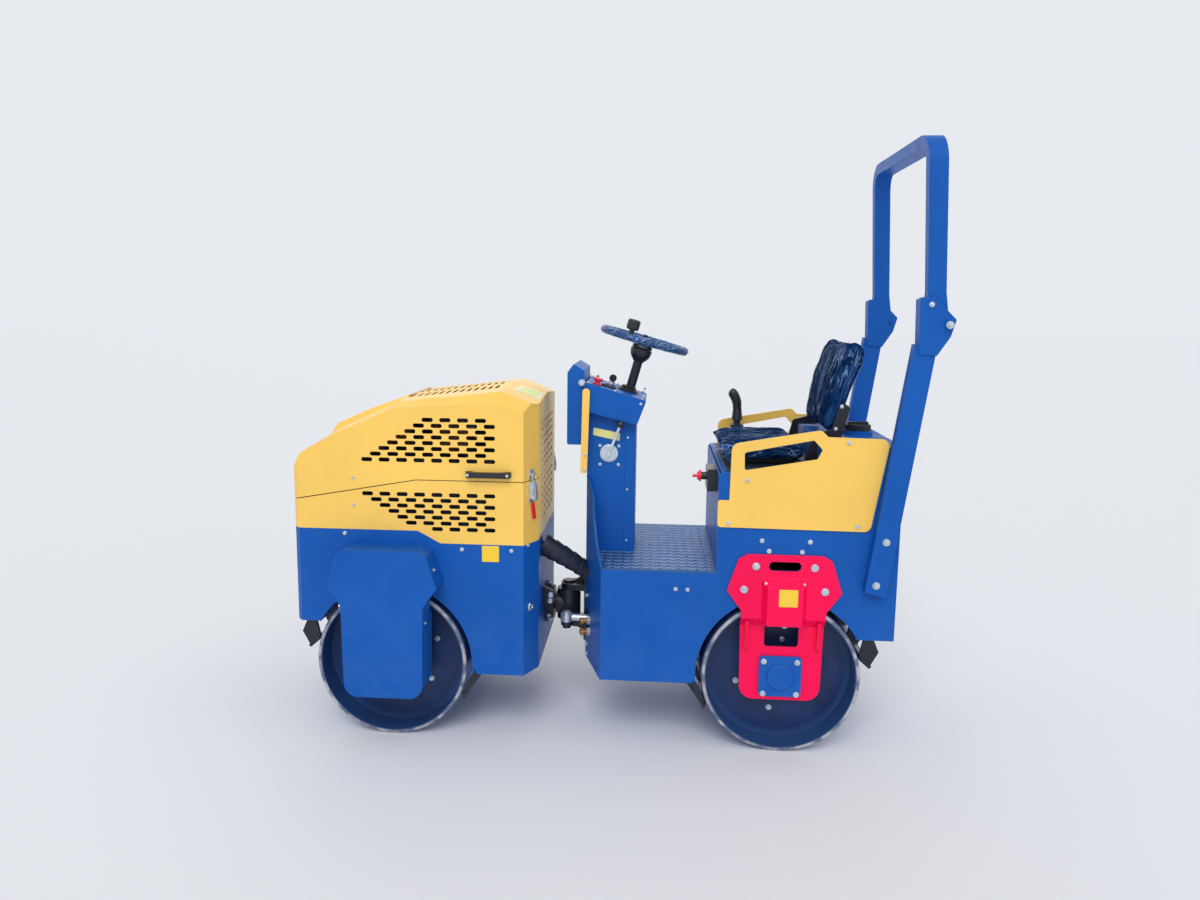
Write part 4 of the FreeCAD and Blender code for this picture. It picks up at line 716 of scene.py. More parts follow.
seat = {"pressure": 4.0, "voxel": 0.006, "roundEdge": 30, "piping": 3.4, "sink": 7.0, "pipingIn": 26}
cushionOutline = [(-186, 1050), (80, 1050), (78, 1100), (-88, 1103), (-252, 1093)]
backOutline = [(138, 1144), (168, 1144), (232, 1326), (270, 1438), (252, 1474), (216, 1474), (166, 1330)]
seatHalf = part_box("seat_cushion")[1].y / mm
pads = {}
for name, outline, node, cap in (("cushion_pad", cushionOutline, "seat_cushion", 0.014),
                                 ("back_pad", backOutline, "seat_back", 0.011)):
    pad = newPiece(name, padShape(outline, seatHalf - seat["sink"], seat["roundEdge"]), seatVinyl, None)
    swelled(pad, seat["voxel"], seat["pressure"], cap)
    low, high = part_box(node)
    # the skin stays inside the space that the pad has, apart from a little crown
    for vertex in pad.data.vertices:
        vertex.co.y = max(low.y - 0.002, min(high.y + 0.002, vertex.co.y))
        vertex.co.z = max(low.z + 0.001, min(high.z + 0.006, vertex.co.z))
    smooth(pad, 60)
    seated(pad, "rear_frame")
    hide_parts(node)
    pads[name] = pad
    surface = BVHTree.FromObject(pad, bpy.context.evaluated_depsgraph_get())
    welt = bmesh.new()
    for side in both:
        piping(welt, surface, outline, side * (seatHalf - seat["pipingIn"]), seat["piping"])
    newPiece(name + "_piping", welt, seatVinyl, "rear_frame", 60)
print("seat pads made")


def filmOver(name, pad, material, lean, fineness, seed, lowest):
    # clear wrapping pulled over a pad: its skin lifted a little, with long folds along one direction
    mesh = pad.data.copy()
    offset = Vector((seed * 3.1, seed * 1.7, seed * 2.3))
    turn = Matrix.Rotation(-math.radians(lean), 3, "Y")
    normals = [v.normal.copy() for v in mesh.vertices]
    for vertex, normal in zip(mesh.vertices, normals):
        p = turn @ vertex.co
        wave = noise.turbulence(Vector([a * b for a, b in zip(p, fineness)]) + offset, 3, False)
        vertex.co += normal * (0.0012 + 0.005 * abs(wave))
        vertex.co.z = max(vertex.co.z, lowest)
    newPiece(name, mesh, material, "rear_frame", 60)


filmOver("cushion_film", pads["cushion_pad"], cushionFilmClear, -3, (5, 22, 18), 1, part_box("seat_cushion")[0].z)
filmOver("back_film", pads["back_pad"], backFilmClear, 18, (26, 18, 4), 2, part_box("seat_back")[0].z)

# the corner of the wrapping that hangs loose off the front of the cushion
flap = {"corner": (-266, -204, 1105), "root": (-178, -226, 1098), "tip": (-214, -223, 1050),
        "side": (-186, -229, 1027), "steps": 16, "wave": 5.0, "flat": (0.095, 0.08), "area": 0.0046}
corner, root, tip, foot = (Vector(flap[key]) for key in ("corner", "root", "tip", "side"))
flapShape = bmesh.new()
steps = flap["steps"]
grid = []
for row in range(steps + 1):
    v = row / steps
    line = []
    for column in range(steps + 1):
        u = column / steps
        p = corner.lerp(root, u).lerp(tip.lerp(foot, u), v)
        wave = noise.turbulence(Vector((u * 3.0, v * 2.2, 0.7)), 3, False) * flap["wave"] * (0.3 + v)
        line.append(flapShape.verts.new(at(p.x - wave * 0.5, p.y - abs(wave), p.z)))
    grid.append(line)
for upper, lower in zip(grid, grid[1:]):
    for a, b, c, d in zip(upper, lower, lower[1:], upper[1:]):
        flapShape.faces.new([a, b, c, d])
bmesh.ops.recalc_face_normals(flapShape, faces=flapShape.faces)
filmCorner = newPiece("film_corner", flapShape, clearFilm, "rear_frame")
filmCorner.modifiers.new("film", "SOLIDIFY").thickness = 0.0004
smooth(freeze(filmCorner), 60)


# corrugated boot over the hoses between the modules

def bootTree():
    rule = Rule("corrugated boot",
                {"Rings": 5.0, "Ring Depth": 0.004, "Front Radius": 0.042, "Back Radius": 0.031})
    line = rule.node("GeometryNodeMeshToCurve", {"Mesh": rule.given["Geometry"]})
    even = rule.node("GeometryNodeResampleCurve", {"Curve": line.outputs[0], "Count": 150})
    along = rule.node("GeometryNodeSplineParameter").outputs["Factor"]
    # each sleeve narrows towards the rear until the lip of the next one steps out again
    sleeve = rule.sum("FRACT", rule.product(along, rule.given["Rings"]))
    crest = rule.sum("POWER", rule.sum("SUBTRACT", 1.0, sleeve), 0.8)
    dip = rule.product(rule.sum("SUBTRACT", 1.0, crest), rule.given["Ring Depth"])
    taper = rule.node("ShaderNodeMapRange", {"Value": along, "To Min": rule.given["Front Radius"],
                                             "To Max": rule.given["Back Radius"]})
    radius = rule.sum("SUBTRACT", taper.outputs["Result"], dip)
    profile = rule.node("GeometryNodeCurvePrimitiveCircle", {"Resolution": 32, "Radius": 1.0})
    swept = rule.node("GeometryNodeCurveToMesh", {
        "Curve": even.outputs[0], "Profile Curve": profile.outputs["Curve"], "Scale": radius,
        "Fill Caps": True})
    return rule.ended(swept.outputs[0])


boot = {"route": [(-879, -150, 692), (-846, -150, 674), (-804, -146, 650), (-760, -140, 622), (-726, -134, 598),
                  (-708, -131, 585)],
        "split": 0.4, "ringDepth": 0.0045, "frontRadius": 0.043, "backRadius": 0.033}
bootPoints = curved([at(*p) for p in boot["route"]], 8)
reached = [0.0]
for before, after in zip(bootPoints, bootPoints[1:]):
    reached.append(reached[-1] + (after - before).length)
split = min(range(len(reached)), key=lambda i: abs(reached[i] - reached[-1] * boot["split"]))
splitRadius = boot["frontRadius"] + (boot["backRadius"] - boot["frontRadius"]) * reached[split] / reached[-1]
# the front half gives to the roll of the engine module, the rear half to the steering: points, count of
# sleeves, two radii, the bodies at its rear and front, and the points between which it bends
halves = {
    "hose_boot_front": (bootPoints[:split + 1], 2.0, boot["frontRadius"], splitRadius,
                        "knuckle", "front_frame", bootPoints[split], bootPoints[4]),
    "hose_boot_rear": (bootPoints[split:], 3.0, splitRadius, boot["backRadius"],
                       "rear_frame", "knuckle", bootPoints[-5], bootPoints[split]),
}
sleeves = bootTree()
for name, (points, rings, frontRadius, backRadius, rearBody, frontBody, start, end) in halves.items():
    values = {"Rings": rings, "Ring Depth": boot["ringDepth"], "Front Radius": frontRadius,
              "Back Radius": backRadius, "Finish": blackRubber}
    half = fromNodes(name, sleeves, points, values, None, "boot_rubber",
                     [(i, i + 1) for i in range(len(points) - 1)])
    half.data.shade_smooth()
    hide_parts("hose_boot")
    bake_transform(half, rearBody, frontBody, start=tuple(start), end=tuple(end))
print("hose boot made")


def lathed(name, forms, materials, body, sharp=40):
    # a piece of turned forms, each with its origin, axis, profile, steps round and finish
    shape = bmesh.new()
    for form in forms:
        turned(shape, *form)
    newPiece(name, shape, materials, body, sharp)


# clamps at both ends of the boot
for name, index, body, radius in (("front_boot_clamp", 3, "front_frame", 44.5),
                                  ("rear_boot_clamp", -4, "rear_frame", 34.5)):
    direction = (bootPoints[index] - bootPoints[index - 1]).normalized()
    lathed(name, [(bootPoints[index] - direction * 0.006, direction,
                   [(0, radius - 4), (0, radius), (12, radius), (12, radius - 4)], 36)],
           blackMetal, body, 35)


# dashboard: a frame along the slope, with switches, a dial, lamps and screws on it

dash = {"front": (-726, 0, 1310), "back": (-497, 0, 1244)}
dashStart = at(*dash["front"])
dashAlong = (at(*dash["back"]) - dashStart).normalized()
dashUp = Vector((-dashAlong.z, 0, dashAlong.x))


def onDash(along, y, lift=0.0):
    return dashStart + (dashAlong * along + Vector((0, y, 0)) + dashUp * lift) * mm


black, red, bright, glass, pale, green = range(6)
# along the slope, across it, height over it, steps round, finish, profile
dashForms = [
    # hour meter with a bezel, a dished face and a needle hub
    (88, -66, -0.5, 36, black, [(0, 0), (0, 31), (4, 31), (7.5, 28), (7.5, 24.5), (4, 23.5)]),
    (88, -66, 1.0, 36, glass, [(0, 24), (1.2, 24), (1.2, 0)]),
    (88, -66, 2.0, 16, pale, [(0, 0), (0, 3), (2, 2.8), (2, 0)]),
    # starter switch and emergency stop mushroom
    (92, 72, 0, 28, bright, [(0, 0), (0, 19), (4, 19), (6, 15), (11, 14.5), (11, 0)]),
    (44, -104, 0, 28, red, [(0, 0), (0, 17), (5, 17), (6, 10), (14, 10), (15, 17), (20, 18.5), (25, 15.5),
                            (27, 7), (27, 0)]),
]
for angle in (math.radians(-30 + 30 * index) for index in range(9)):
    dashForms.append((88 + 19 * math.cos(angle), -66 + 19 * math.sin(angle), 2.4, 8, pale,
                      [(0, 0), (0, 1.1), (0.5, 1.1), (0.5, 0)]))
dashShape = bmesh.new()
# toggle switches and lamps
for y, mark in ((-58, red), (-26, black), (6, black), (38, red)):
    dashForms.append((40, y, 0, 6, bright, [(0, 0), (0, 10.5), (3, 10.5), (4, 7.5), (8, 7), (8, 0)]))
    tube(dashShape, [onDash(40, y, 7), onDash(37, y, 15), onDash(34, y, 23)], [2.6, 3.4, 4.4], 10, mark)
for y, mark in ((96, green), (118, red), (140, bright)):
    dashForms.append((46, y, 0, 20, mark, [(0, 0), (0, 8), (3, 8), (6, 6.2), (7.5, 3), (7.8, 0)]))
# rubber gaiter where the column comes through
for lift, radius in ((0, 40), (5, 37), (11, 31), (17, 27)):
    dashForms.append((162, 0, lift - 1, 32, black,
                      [(0, 0), (0, radius), (3, radius + 2), (6, radius - 2), (6, 0)]))
for along, y, lift, steps, mark, profile in dashForms:
    turned(dashShape, onDash(along, y, lift), dashUp, profile, steps, mark)
# the starter's key with its round head
prism(dashShape, [onDash(along, 71, lift) for along, lift in ((82, 11), (102, 11), (104, 30), (80, 30))],
      (0, 0.0026, 0), bright)
turned(dashShape, onDash(92, 67, 26), (0, 1, 0),
       [(0, 0), (0, 13), (1.5, 14.5), (8.5, 14.5), (10, 13), (10, 0)], 24, black)
newPiece("dash_controls", dashShape, [blackPlastic, redPlastic, chrome, dialGlass, whitePlastic, greenLens],
         "rear_frame", 40, (0.6, 1, 40))
bolts("dash_bolts", "rear_frame", [(onDash(along, y), dashUp, 12) for along, y in
                                   ((12, -148), (12, 148), (222, -148), (222, 148), (118, -148), (118, 148))])

# bare labels: thin stickers with a rounded outline on the near side, nothing printed on them
stickers = {
    "front_label": (-356, [(-1074, 673), (-1012, 673), (-1012, 732), (-1074, 732)], labelYellow, "front_frame"),
    "yoke_label": (-398.2, [(-22, 556), (43, 556), (43, 618), (-22, 618)], labelYellow, "rear_frame"),
    "post_label": (-110, [(-695, 1108), (-595, 1087), (-592, 1117), (-693, 1136)], labelPale, "rear_frame"),
}
outward = Vector((0, -1, 0))
for name, (y, places, material, body) in stickers.items():
    corners = [at(x, y - 0.1, z) for x, z in places]
    middle = sum(corners, Vector((0, 0, 0))) / len(corners)
    outline = rounded(corners, 0.004, 3)
    shape = bmesh.new()
    prism(shape, outline, outward * 0.5 * mm)
    prism(shape, [middle + (p - middle) * 0.9 for p in outline], outward * 0.65 * mm)
    newPiece(name, shape, material, body, 40)

# the roof's label follows the fold of the sheet; its rows are (x, height at the crown, fall to each side)
roofFold = [(-975, 1289.2, 0.058), (-924, 1276.0, 0.0772), (-890, 1262.1, 0.0772)]
labelShape = bmesh.new()
for inset, lift, mark in ((0, 0.6, 0), (7, 0.9, 1)):
    left, right = -196 + inset, -62 - inset
    loops = []
    for index, (x, crown, fall) in enumerate(roofFold):
        shift = inset * (1 - index)
        drop = shift * (0.259 if index == 0 else 0.409)
        loops.append([labelShape.verts.new(at(x + shift, y, crown - fall * abs(y) - drop + level))
                      for y, level in ((left, lift), (right, lift), (right, 0.1), (left, 0.1))])
    skinned(labelShape, loops, mark)
newPiece("hood_label", labelShape, [labelWhite, labelGreen], "hood")
print("dashboard and labels made")


# toggle latches on the rear corners of the hood, with the hook above the seam and a red tag

facet = {"middle": (-902, -309), "along": (0.424, 0.906), "out": (0.906, -0.424)}


def onFacet(side, along, out, z):
    x, y = (m + a * along + o * out for m, a, o in zip(facet["middle"], facet["along"], facet["out"]))
    return at(x, y if side < 0 else -y, z)


def facetOut(side):
    return onFacet(side, 0, 1, 0) - onFacet(side, 0, 0, 0)


def slab(shape, side, half, low, high, inner, outer):
    corners = ((-half, low), (half, low), (half, high), (-half, high))
    prism(shape, [onFacet(side, along, inner, z) for along, z in corners], facetOut(side) * (outer - inner))


def bar(shape, side, half, outline):
    # an outline (out, z) pushed along the facet
    prism(shape, [onFacet(side, -half, out, z) for out, z in outline],
          onFacet(side, half, 0, 0) - onFacet(side, -half, 0, 0))


low, high, hookZ = 886, 962, 987
for sideName, side in (("near", -1), ("far", 1)):
    outward = facetOut(side)
    fixed = bmesh.new()
    slab(fixed, side, 17, low, high, 0.2, 2.4)
    slab(fixed, side, 14, low + 14, low + 22, 2.0, 19)
    bar(fixed, side, 9, [(17.5, low + 8), (22, low + 10), (24.5, low + 34), (21, high - 14), (18, high - 6),
                         (15.5, high - 9), (18.5, high - 18), (20.5, low + 34)])
    for along in (-11.5, 11.5):
        wire = ((along, 14, low + 26), (along, 17, high - 12), (along, 14, high + 8), (along * 0.8, 10, hookZ))
        tube(fixed, [onFacet(side, *place) for place in wire], 1.8, 8)
    tube(fixed, [onFacet(side, along, 10, hookZ) for along in (-9.2, 9.2)], 1.8, 8)
    for along, z in ((-11, low + 7), (11, low + 7), (-11, high - 6), (11, high - 6)):
        turned(fixed, onFacet(side, along, 2.2, z), outward,
               [(0, 0), (0, 3.4), (1, 3.4), (2.2, 1.8), (2.4, 0)], 12)
    tag = ((-6, 4, 884), (14, 4, 884), (22, 7, 824), (2, 7, 824))
    prism(fixed, [onFacet(side, *place) for place in tag], outward * 1.6, 1)
    newPiece(sideName + "_latch", fixed, [zinc, redPlastic], "front_frame", 40, (0.7, 1, 40))
    moving = bmesh.new()
    slab(moving, side, 15, 971, 1006, 0.2, 2.2)
    bar(moving, side, 7, [(2, 986), (12, 986), (14.5, 989), (14.5, 996), (12.5, 996), (11.5, 991), (2, 991)])
    newPiece(sideName + "_latch_hook", moving, zinc, "hood", 40, (0.7, 1, 40))
    spot = onFacet(side, -6, 0, 499)
    lathed(sideName + "_facet_ring", [
        (spot, outward, [(0, 0), (0, 16.5), (3, 16.5), (6, 13.5), (6, 9.5), (2.5, 8.5)], 28, 0),
        (spot + outward.normalized() * 0.001, outward, [(0, 0), (0, 9), (1, 9), (1, 0)], 20, 1),
    ], [chrome, blackRubber], "front_frame")


def guardScrews(drumX, side):
    # screws on the sloped edges of a drive yoke's guard
    return [(at(drumX + x, side * 432, z), (out, 0, rise), 13) for x, z, out, rise in
            ((181, 658, 0.952, 0.306), (146, 462, 1, 0.04), (-181, 658, -0.952, 0.306), (-146, 462, -1, 0.04))]


# screws on the hood handles, the facets, the guards, the lifting yoke and the roll bar's legs
bolts("hood_screws", "hood", [(at(x, side * 386, 993), (0, side, 0), 11)
                              for side in both for x in (-1119, -978)])
bolts("front_frame_screws", "front_frame", guardScrews(frontDrumX, -1) + [
    (onFacet(side, -22, 0, 731), facetOut(side), 13) for side in both])
bolts("rear_frame_screws", "rear_frame", guardScrews(0, 1)
      + [(at(side * 70, -366.2, 508), (0, -1, 0), 15) for side in both]
      + [(at(side * 66, -379, 632), (0, -1, 0), 12) for side in both]
      + [(at(488, side * 416, 1534), (0, side, 0), 26) for side in both]
      + [(at(430, side * 402, 1600), (0, side, 0), 18) for side in both])

# fittings of the hydraulic lines on the slanted nose of the seat module, and bolts on both ends of the fold
noseOut = Vector((-0.961, -0.277, 0))
fittings = []
for spot in (at(-692, -194, z) + noseOut * 0.001 for z in (412, 369)):
    fittings.append((spot, noseOut, [(0, 0), (0, 16), (12, 16), (12, 0)], 6, 0))
    fittings.append((spot + noseOut * 0.011, noseOut,
                     [(0, 0), (0, 10.5), (12, 10.5), (14, 12.5), (26, 12.5), (28, 9), (30, 0)], 20, 1))
lathed("line_fittings", fittings, [zinc, brass], "rear_frame", 35)
bolts("nose_bolts", "rear_frame", [(at(-707, -141, z), noseOut, 17) for z in (493, 302, 262)]
      + [(at(-726, y, z), (-1, 0, 0), 22) for z in (540, 300) for y in (-50, 50)])
bolts("housing_bolts", "front_frame", [
    (at(-868, 74 * math.cos(angle), 420 + 74 * math.sin(angle)), (1, 0, 0), 19)
    for angle in (math.radians(30 + 60 * index) for index in range(6))])

# black bracket on the back wall of the engine module, with two bolts
bracketShape = bmesh.new()
bracket = [(-879.5, 520), (-836, 500), (-830, 470), (-842, 452), (-879.5, 446)]
prism(bracketShape, [at(x, -128, z) for x, z in bracket], (0, 0.012, 0))
for x, z in ((-850, 486), (-852, 464)):
    turned(bracketShape, at(x, -128, z), (0, -1, 0),
           [(0, 0), (0, 12.5), (2, 12.5), (2, 10.5), (12, 10.5), (13, 6), (20, 6), (20, 0)], 6, 1)
newPiece("hose_bracket", bracketShape, [blackMetal, zinc], "front_frame", 35, (0.8, 1, 40))
print("latches, screws and fittings made")

# engine bay, seen through the grilles and under the open hood
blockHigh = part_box("engine_block")[1]
backX, topZ = localX(blockHigh.x), blockHigh.z / mm
half, low, high, fins = 196, 772, 1150, 30
radiatorShape = bmesh.new()
for y0, y1, z0, z1, x0, x1 in ((-half - 22, -half, low, high, 0, 74), (half, half + 22, low, high, 0, 74),
                               (-half - 22, half + 22, high, high + 34, -4, 78),
                               (-half - 22, half + 22, low - 26, low, -4, 78),
                               (-half, half, low, high, 10, 50)):
    prism(radiatorShape, [at(backX + x0, y, z) for y, z in ((y0, z0), (y1, z0), (y1, z1), (y0, z1))],
          ((x1 - x0) * mm, 0, 0))
turned(radiatorShape, at(backX + 36, 120, high + 30), (0, 0, 1),
       [(0, 0), (0, 21), (16, 21), (19, 18), (19, 0)], 24, 1)
newPiece("radiator", radiatorShape, [blackMetal, brass], "front_frame", 40, (2, 2, 30))
fromNodes("radiator_fins", treadBars,
          [at(backX + 56, 0, low + (index + 0.5) * (high - low) / fins) for index in range(fins)],
          {"Finish": engineGrey, "Bar Length": half * 2 * mm, "Bar Width": 0.016, "Bar Height": 0.006},
          "front_frame", "cast_iron", facing=[(0, 1, 0)] * fins)


def inBay(x, y, rise):
    # a place in the bay, from the back and the top of the engine
    return at(backX + x, y, topZ + rise)


bayShape = bmesh.new()
# rocker cover with its ribs, on top of the engine
cover = rounded([(-330, -70), (-70, -70), (-70, 84), (-330, 84)], 26)
prism(bayShape, [inBay(c.x, c.y, 0) for c in cover], (0, 0, 0.062))
for x in range(-300, -50, 50):
    rib = ((0, -58), (16, -58), (16, 72), (0, 72))
    prism(bayShape, [inBay(x + along, y, 60) for along, y in rib], (0, 0, 0.01))
# rusty silencer on the near side and a black air cleaner on the far side, each on two cradles
for y, radius, start, length, mark in ((-128, 54, -205, 110, 1), (136, 64, -380, 222, 2)):
    turned(bayShape, inBay(start, y, radius + 12), (1, 0, 0),
           [(0, 0), (0, radius - 8), (8, radius), (length * 0.3, radius), (length * 0.32, radius + 3),
            (length * 0.36, radius + 3), (length * 0.38, radius), (length - 8, radius), (length, radius - 8),
            (length, 0)], 40, mark)
    for share in (0.12, 0.84):
        cradle = ((-34, 0), (34, 0), (24, 30), (-24, 30))
        prism(bayShape, [inBay(start + length * share, y + across, rise) for across, rise in cradle],
              (0.006, 0, 0))
exhaust = [(-150, -128, 110), (-150, -128, 140), (-175, -112, 158), (-230, -80, 150), (-240, -60, 90),
           (-240, -56, 40)]
tube(bayShape, curved([inBay(*place) for place in exhaust], 6), 19, 16, 1)
intake = [(-162, 136, 74), (-132, 136, 76), (-118, 136, 76)]
tube(bayShape, curved([inBay(*place) for place in intake], 4), 24, 16, 2)
tank = rounded([(-122, 0), (-10, 0), (-10, 176), (-98, 176), (-122, 140)], 12)
prism(bayShape, [inBay(c.x, 84, c.y) for c in tank], (0, 0.13, 0), 2)
turned(bayShape, inBay(-52, 150, 174), (0, 0, 1), [(0, 0), (0, 24), (12, 24), (15, 20), (15, 0)])
newPiece("engine_dress", bayShape, [engineGrey, rustySteel, blackPlastic], "front_frame", 40)
print("engine bay dressed")

# console: cover strips on the post, metal beads on the footwell's edges (worn edges and a painted edge
# highlight), throttle knob, ends of the grab bar
strips = bmesh.new()
for side in both:
    outline = ((-574, 694), (-537, 694), (-537, 1120), (-574, 1132))
    prism(strips, [at(x, side * 110.2, z) for x, z in outline], (0, side * 0.0018, 0))
newPiece("post_strips", strips, navyPaint, "rear_frame", edge=(0.8, 1, 40))

# the wing's top edge: share of the way from its foot to its nose, height over its base
wing = {"foot": Vector((-645, -356)), "nose": Vector((-716, -110)), "base": 657,
        "top": [(0, 2), (0.14, 26), (0.26, 58), (0.36, 96), (0.46, 138), (0.515, 170), (0.53, 205), (0.56, 236),
                (0.7, 252), (0.99, 296)]}
# metal beads along the wing's top edge and the floor's edge: bare worn edges, placed also to give a painted
# bright highlight line
edges = bmesh.new()
for side in both:
    route = []
    for share, height in wing["top"]:
        x, y = wing["foot"].lerp(wing["nose"], share)
        route.append(at(x - 0.5, y * -side, wing["base"] + height))
    tube(edges, curved(route, 4), 1.6, 8)
    tube(edges, [at(x, side * 355.4, 662.6) for x in (-640, -242)], 1.4, 8)
newPiece("worn_highlit_edges", edges, treadSteel, "rear_frame", 60)

lathed("throttle_details", [
    (at(-634, -129.5, 1040), (0, -1, 0), [(0, 0), (0, 9), (4, 9), (4, 5), (9, 5), (9, 0)], 6),
    (at(-634, -110, 1040), (0, -1, 0), [(0, 0), (0, 34), (2.5, 34), (3.5, 31), (3.5, 0)], 40),
    (at(-590, -154, 1156), (0, -1, 0),
     [(-2, 0), (-2, 8), (4, 12.5), (12, 13.5), (20, 11), (24, 5), (24.5, 0)], 24, 1),
], [zinc, blackPlastic], "rear_frame", 35)
lathed("console_knobs", [
    (at(-735, side * 162, 1307), (0, side, 0), [(-12, 0), (-12, 8), (-6, 13.5), (4, 13.5), (10, 9), (11, 0)])
    for side in both], zinc, "rear_frame", 35)

# weld beads above the yokes
beads = bmesh.new()
for side in both:
    route = [at(-131 + 238 * i / 30, side * 356.2, 760 + 0.5 * math.sin(i * 2.1)) for i in range(31)]
    tube(beads, route, [1.4 + 0.4 * math.sin(i * 1.7) for i in range(31)], 8)
newPiece("weld_beads", beads, navyPaint, "rear_frame", 60)

# travel lever: rubber gaiter over the gate, and a moulded grip
lever = bmesh.new()
gaiter = [(0, 0), (0, 30), (4, 31)]
for index in range(6):
    gaiter += [(8 + index * 11, 28.5 - index * 3.2), (13.5 + index * 11, 22.5 - index * 2.4)]
gaiter += [(72, 15), (74, 27), (84, 27.5), (87.5, 14.5), (112, 13.8), (112, 0)]
turned(lever, at(-128, 270, 1027), (0, 0, 1), gaiter, 32)
grip = [(-128, 1128), (-128.5, 1150), (-129, 1180), (-131, 1204), (-139, 1226), (-150, 1243), (-160, 1252)]
gripRadii = [13.5, 15.5, 17, 18.5, 19, 19, 18.5, 18, 17.8, 17.5, 17.5, 17.8, 18, 18.4, 18.8, 19, 19.2, 19.4,
             19.5, 19.6, 19.7, 19.8, 19.8, 19.7, 19.4, 19, 18.2, 16.8, 14.6, 11.2, 6]
tube(lever, curved([at(x, 270, z) for x, z in grip], 5), gripRadii, 20, 1)
newPiece("lever_grip", lever, [blackRubber, blackPlastic], "rear_frame", 40)

# battery isolator key and the filler cap's ribs
key = bmesh.new()
turned(key, at(-292, -185, 976), (-1, 0, 0), [(0, 0), (0, 21), (6, 21), (8, 16), (14, 15), (14, 0)], 28)
prism(key, [at(-305, y, z) for y, z in ((-199, 972), (-171, 972), (-168, 981), (-202, 981))], (-0.018, 0, 0))
newPiece("isolator_key", key, redPlastic, "rear_frame", 40, (1, 2, 40))
ribAngles = [2 * math.pi * index / 28 for index in range(28)]
lathed("cap_ribs", [
    (at(300 + 46 * math.cos(a), 46 * math.sin(a), 1133.5), (0, 0, 1),
     [(0, 0), (0, 2.2), (18.5, 2.2), (18.5, 0)], 8) for a in ribAngles],
       blackPlastic, "rear_frame")

# clear wrapping round the rim of the steering wheel: a loose skin with a spiral of folds
wheelCentre = at(-510, 0, 1461)
wheelTilt = Matrix.Rotation(math.radians(15.4), 3, "Y")
wrap = {"rim": 0.157, "radius": 0.0142, "around": 220, "across": 20, "lumps": 0.0035}
wrapShape = bmesh.new()
loops = []
for a in (2 * math.pi * i / wrap["around"] for i in range(wrap["around"])):
    loop = []
    for b in (2 * math.pi * j / wrap["across"] for j in range(wrap["across"])):
        around = Vector((math.cos(a) * 9, math.sin(a) * 9, math.sin(b + 3 * a) * 1.6))
        folds = noise.turbulence(around, 3, False)
        radius = wrap["radius"] + wrap["lumps"] * abs(folds)
        flat = wrap["rim"] + radius * math.cos(b)
        local = Vector((flat * math.cos(a), flat * math.sin(a), radius * math.sin(b)))
        loop.append(wrapShape.verts.new(wheelCentre + wheelTilt @ local))
    loops.append(loop)
skinned(wrapShape, loops, endless=True)
newPiece("rim_wrapping", wrapShape, rimFilm, "wheel", 60)

# spinner knob with rounded ends on its stem, a skirt under the hub, and the bowl at the top of the column
alongColumn = (wheelTilt @ Vector((0, 0, 1))).normalized()
knobFoot = wheelCentre + wheelTilt @ Vector((-0.34 * wrap["rim"], -0.94 * wrap["rim"], 0))
low, high, radius, corner, stem = 27.5, 66.5, 23.5, 8.5, 9.5
turns = [math.radians(15 * index) for index in range(7)]
profile = [(0, 0), (0, stem), (low - 1, stem)]
profile += [(low + corner * (1 - math.cos(a)), radius - corner * (1 - math.sin(a))) for a in turns]
profile += [(high - corner * (1 - math.sin(a)), radius - corner * (1 - math.cos(a))) for a in turns]
lathed("wheel_knob", [
    (knobFoot, alongColumn, profile + [(high + 0.6, 0)], 36),
    (wheelCentre - alongColumn * 0.0348, alongColumn,
     [(0, 0), (0, 36), (4, 38.5), (12, 37), (17, 31), (18.5, 0)], 40),
], blackPlastic, "wheel")
lathed("column_bowl", [
    (wheelCentre - alongColumn * 0.084, alongColumn,
     [(0, 0), (0, 21.2), (3, 22.2), (10, 29), (20, 36.5), (32, 40.2), (47.5, 41.2), (48, 0)], 40),
], blackPlastic, "rear_frame")

# black sheet on the seat housing, under the cushion: painted shade where the housing's top lies in the cushion's
# shadow
shadeSheetShape = bmesh.new()
prism(shadeSheetShape, [at(x, y, 1020.1) for x, y in ((-214, -338), (122, -338), (122, 338), (-214, 338))],
      (0, 0, 0.0039))
newPiece("seat_shade_sheet", shadeSheetShape, blackRubber, "rear_frame", edge=(1.2, 1, 40))

# front wall of the raised panel on the engine hood
panelShape = bmesh.new()
panelX = frontDrumX - 272.7
prism(panelShape, [at(panelX, y, z) for y, z in ((-155, 1091), (155, 1091), (149.5, 1101.4), (-149.5, 1101.4))],
      (0.0034, 0, 0))
newPiece("panel_wall", panelShape, yellowPaint, "hood")
print("console, lever and wrapping made")


# studio: pale floor, soft lamps and the photograph's camera

studio = {"floorHalf": 60.0, "floorColour": (228, 231, 236), "worldColour": (231, 234, 239), "worldLight": 0.64}

floorShape = bmesh.new()
half = studio["floorHalf"]
floorShape.faces.new([floorShape.verts.new((x, y, 0)) for x, y in
                      ((-half, -half), (half, -half), (half, half), (-half, half))])
floorRecipe = Recipe("floorPaint")
floorRecipe.set(colour=tone(*studio["floorColour"]), rough=0.85, specular=0.2)
floor = newPiece("studio_floor", floorShape, floorRecipe.material, None)

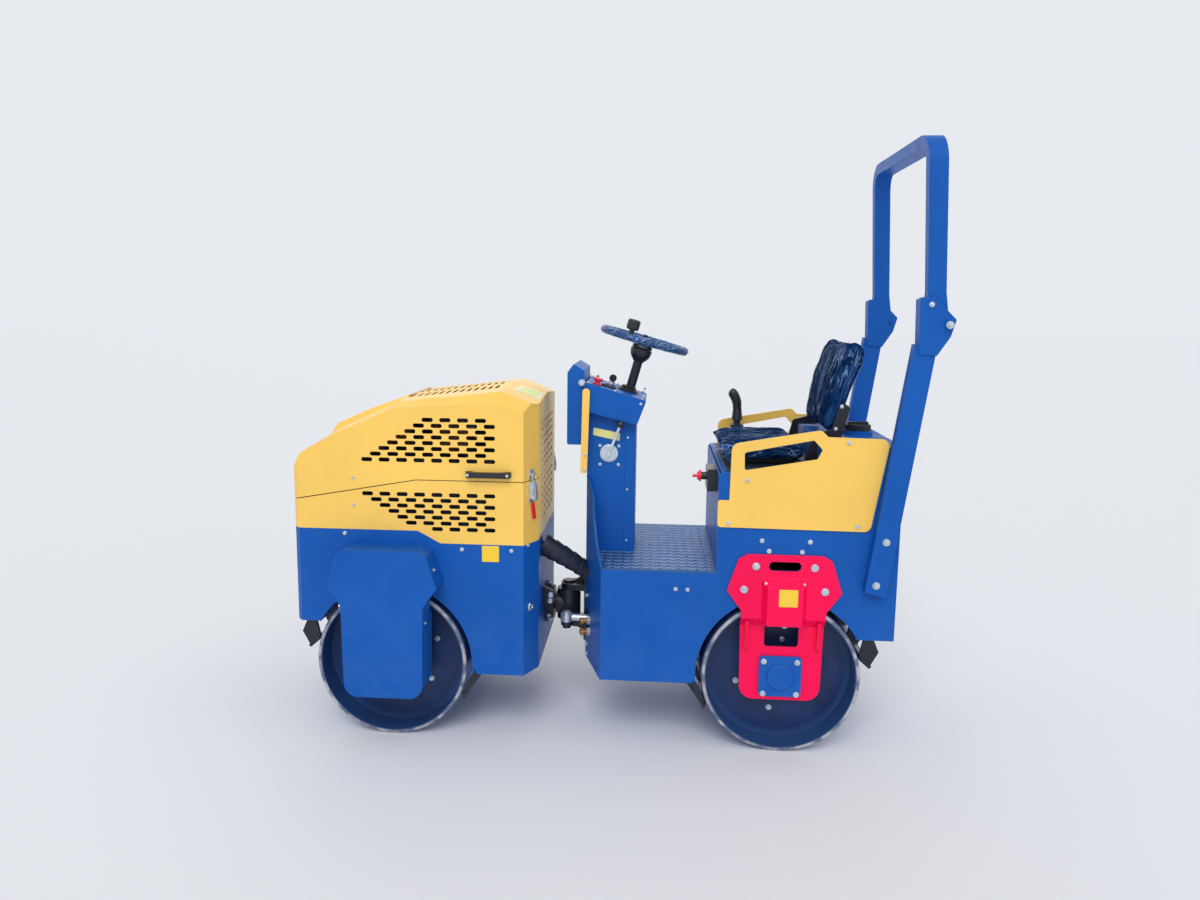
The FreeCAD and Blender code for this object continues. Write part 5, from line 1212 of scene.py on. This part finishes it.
world = bpy.data.worlds.new("studio")
bpy.context.scene.world = world
world.use_nodes = True
sky = Graph(world.node_tree)
sky.tree.nodes.clear()
lit = sky.node("ShaderNodeBackground", {"Color": (1, 1, 1, 1), "Strength": studio["worldLight"]})
seen = sky.node("ShaderNodeBackground", {"Color": tone(*studio["worldColour"]), "Strength": 1.0})
rays = sky.node("ShaderNodeLightPath").outputs
anySeen = rays["Is Camera Ray"]
for kind in ("Is Glossy Ray", "Is Transmission Ray"):
    anySeen = sky.sum("MAXIMUM", anySeen, rays[kind])
choose = sky.node("ShaderNodeMixShader", {0: anySeen, 1: lit.outputs[0], 2: seen.outputs[0]})
sky.node("ShaderNodeOutputWorld", {0: choose.outputs[0]})

# lamps: strength, angle in degrees, the way that they shine
for name, strength, angle, towards in (("key", 1.26, 35, (0.08, 0.87, -0.8)),
                                       ("fill", 0.25, 60, (-0.9, 0.55, -0.6)),
                                       ("rim", 0.35, 50, (0.2, -0.9, -0.5))):
    lamp = bpy.data.lights.new(name, "SUN")
    lamp.energy = strength
    lamp.angle = math.radians(angle)
    linked(name, lamp).rotation_euler = (-Vector(towards)).to_track_quat("Z", "Y").to_euler()

camera = bpy.data.cameras.new("photo camera")
photo = {"width": 1200, "height": 900, "focal": 927.04, "centre": (575.796, 446.567),
         "pitch": 0.147321, "yaw": -0.0833095, "roll": 0.0086512, "place": (-471.62, -3556.40, 1575.50)}
camera.sensor_width = 36.0
camera.lens = photo["focal"] / photo["width"] * camera.sensor_width
camera.shift_x = (photo["width"] / 2 - photo["centre"][0]) / photo["width"]
camera.shift_y = (photo["centre"][1] - photo["height"] / 2) / photo["width"]
camera.clip_end = 200.0
pitch, yaw, roll = photo["pitch"], photo["yaw"], photo["roll"]
ahead = Vector((math.sin(yaw) * math.cos(pitch), math.cos(yaw) * math.cos(pitch), -math.sin(pitch)))
right = Vector((math.cos(yaw), -math.sin(yaw), 0))
above = right.cross(ahead)
turn = Matrix((right * math.cos(roll) + above * math.sin(roll),
               above * math.cos(roll) - right * math.sin(roll), -ahead)).transposed().to_4x4()
turn.translation = at(*photo["place"])
bpy.context.scene.camera = linked("photo camera", camera)
bpy.context.scene.camera.matrix_world = turn
bpy.context.scene.view_settings.view_transform = "Standard"
print("studio ready")
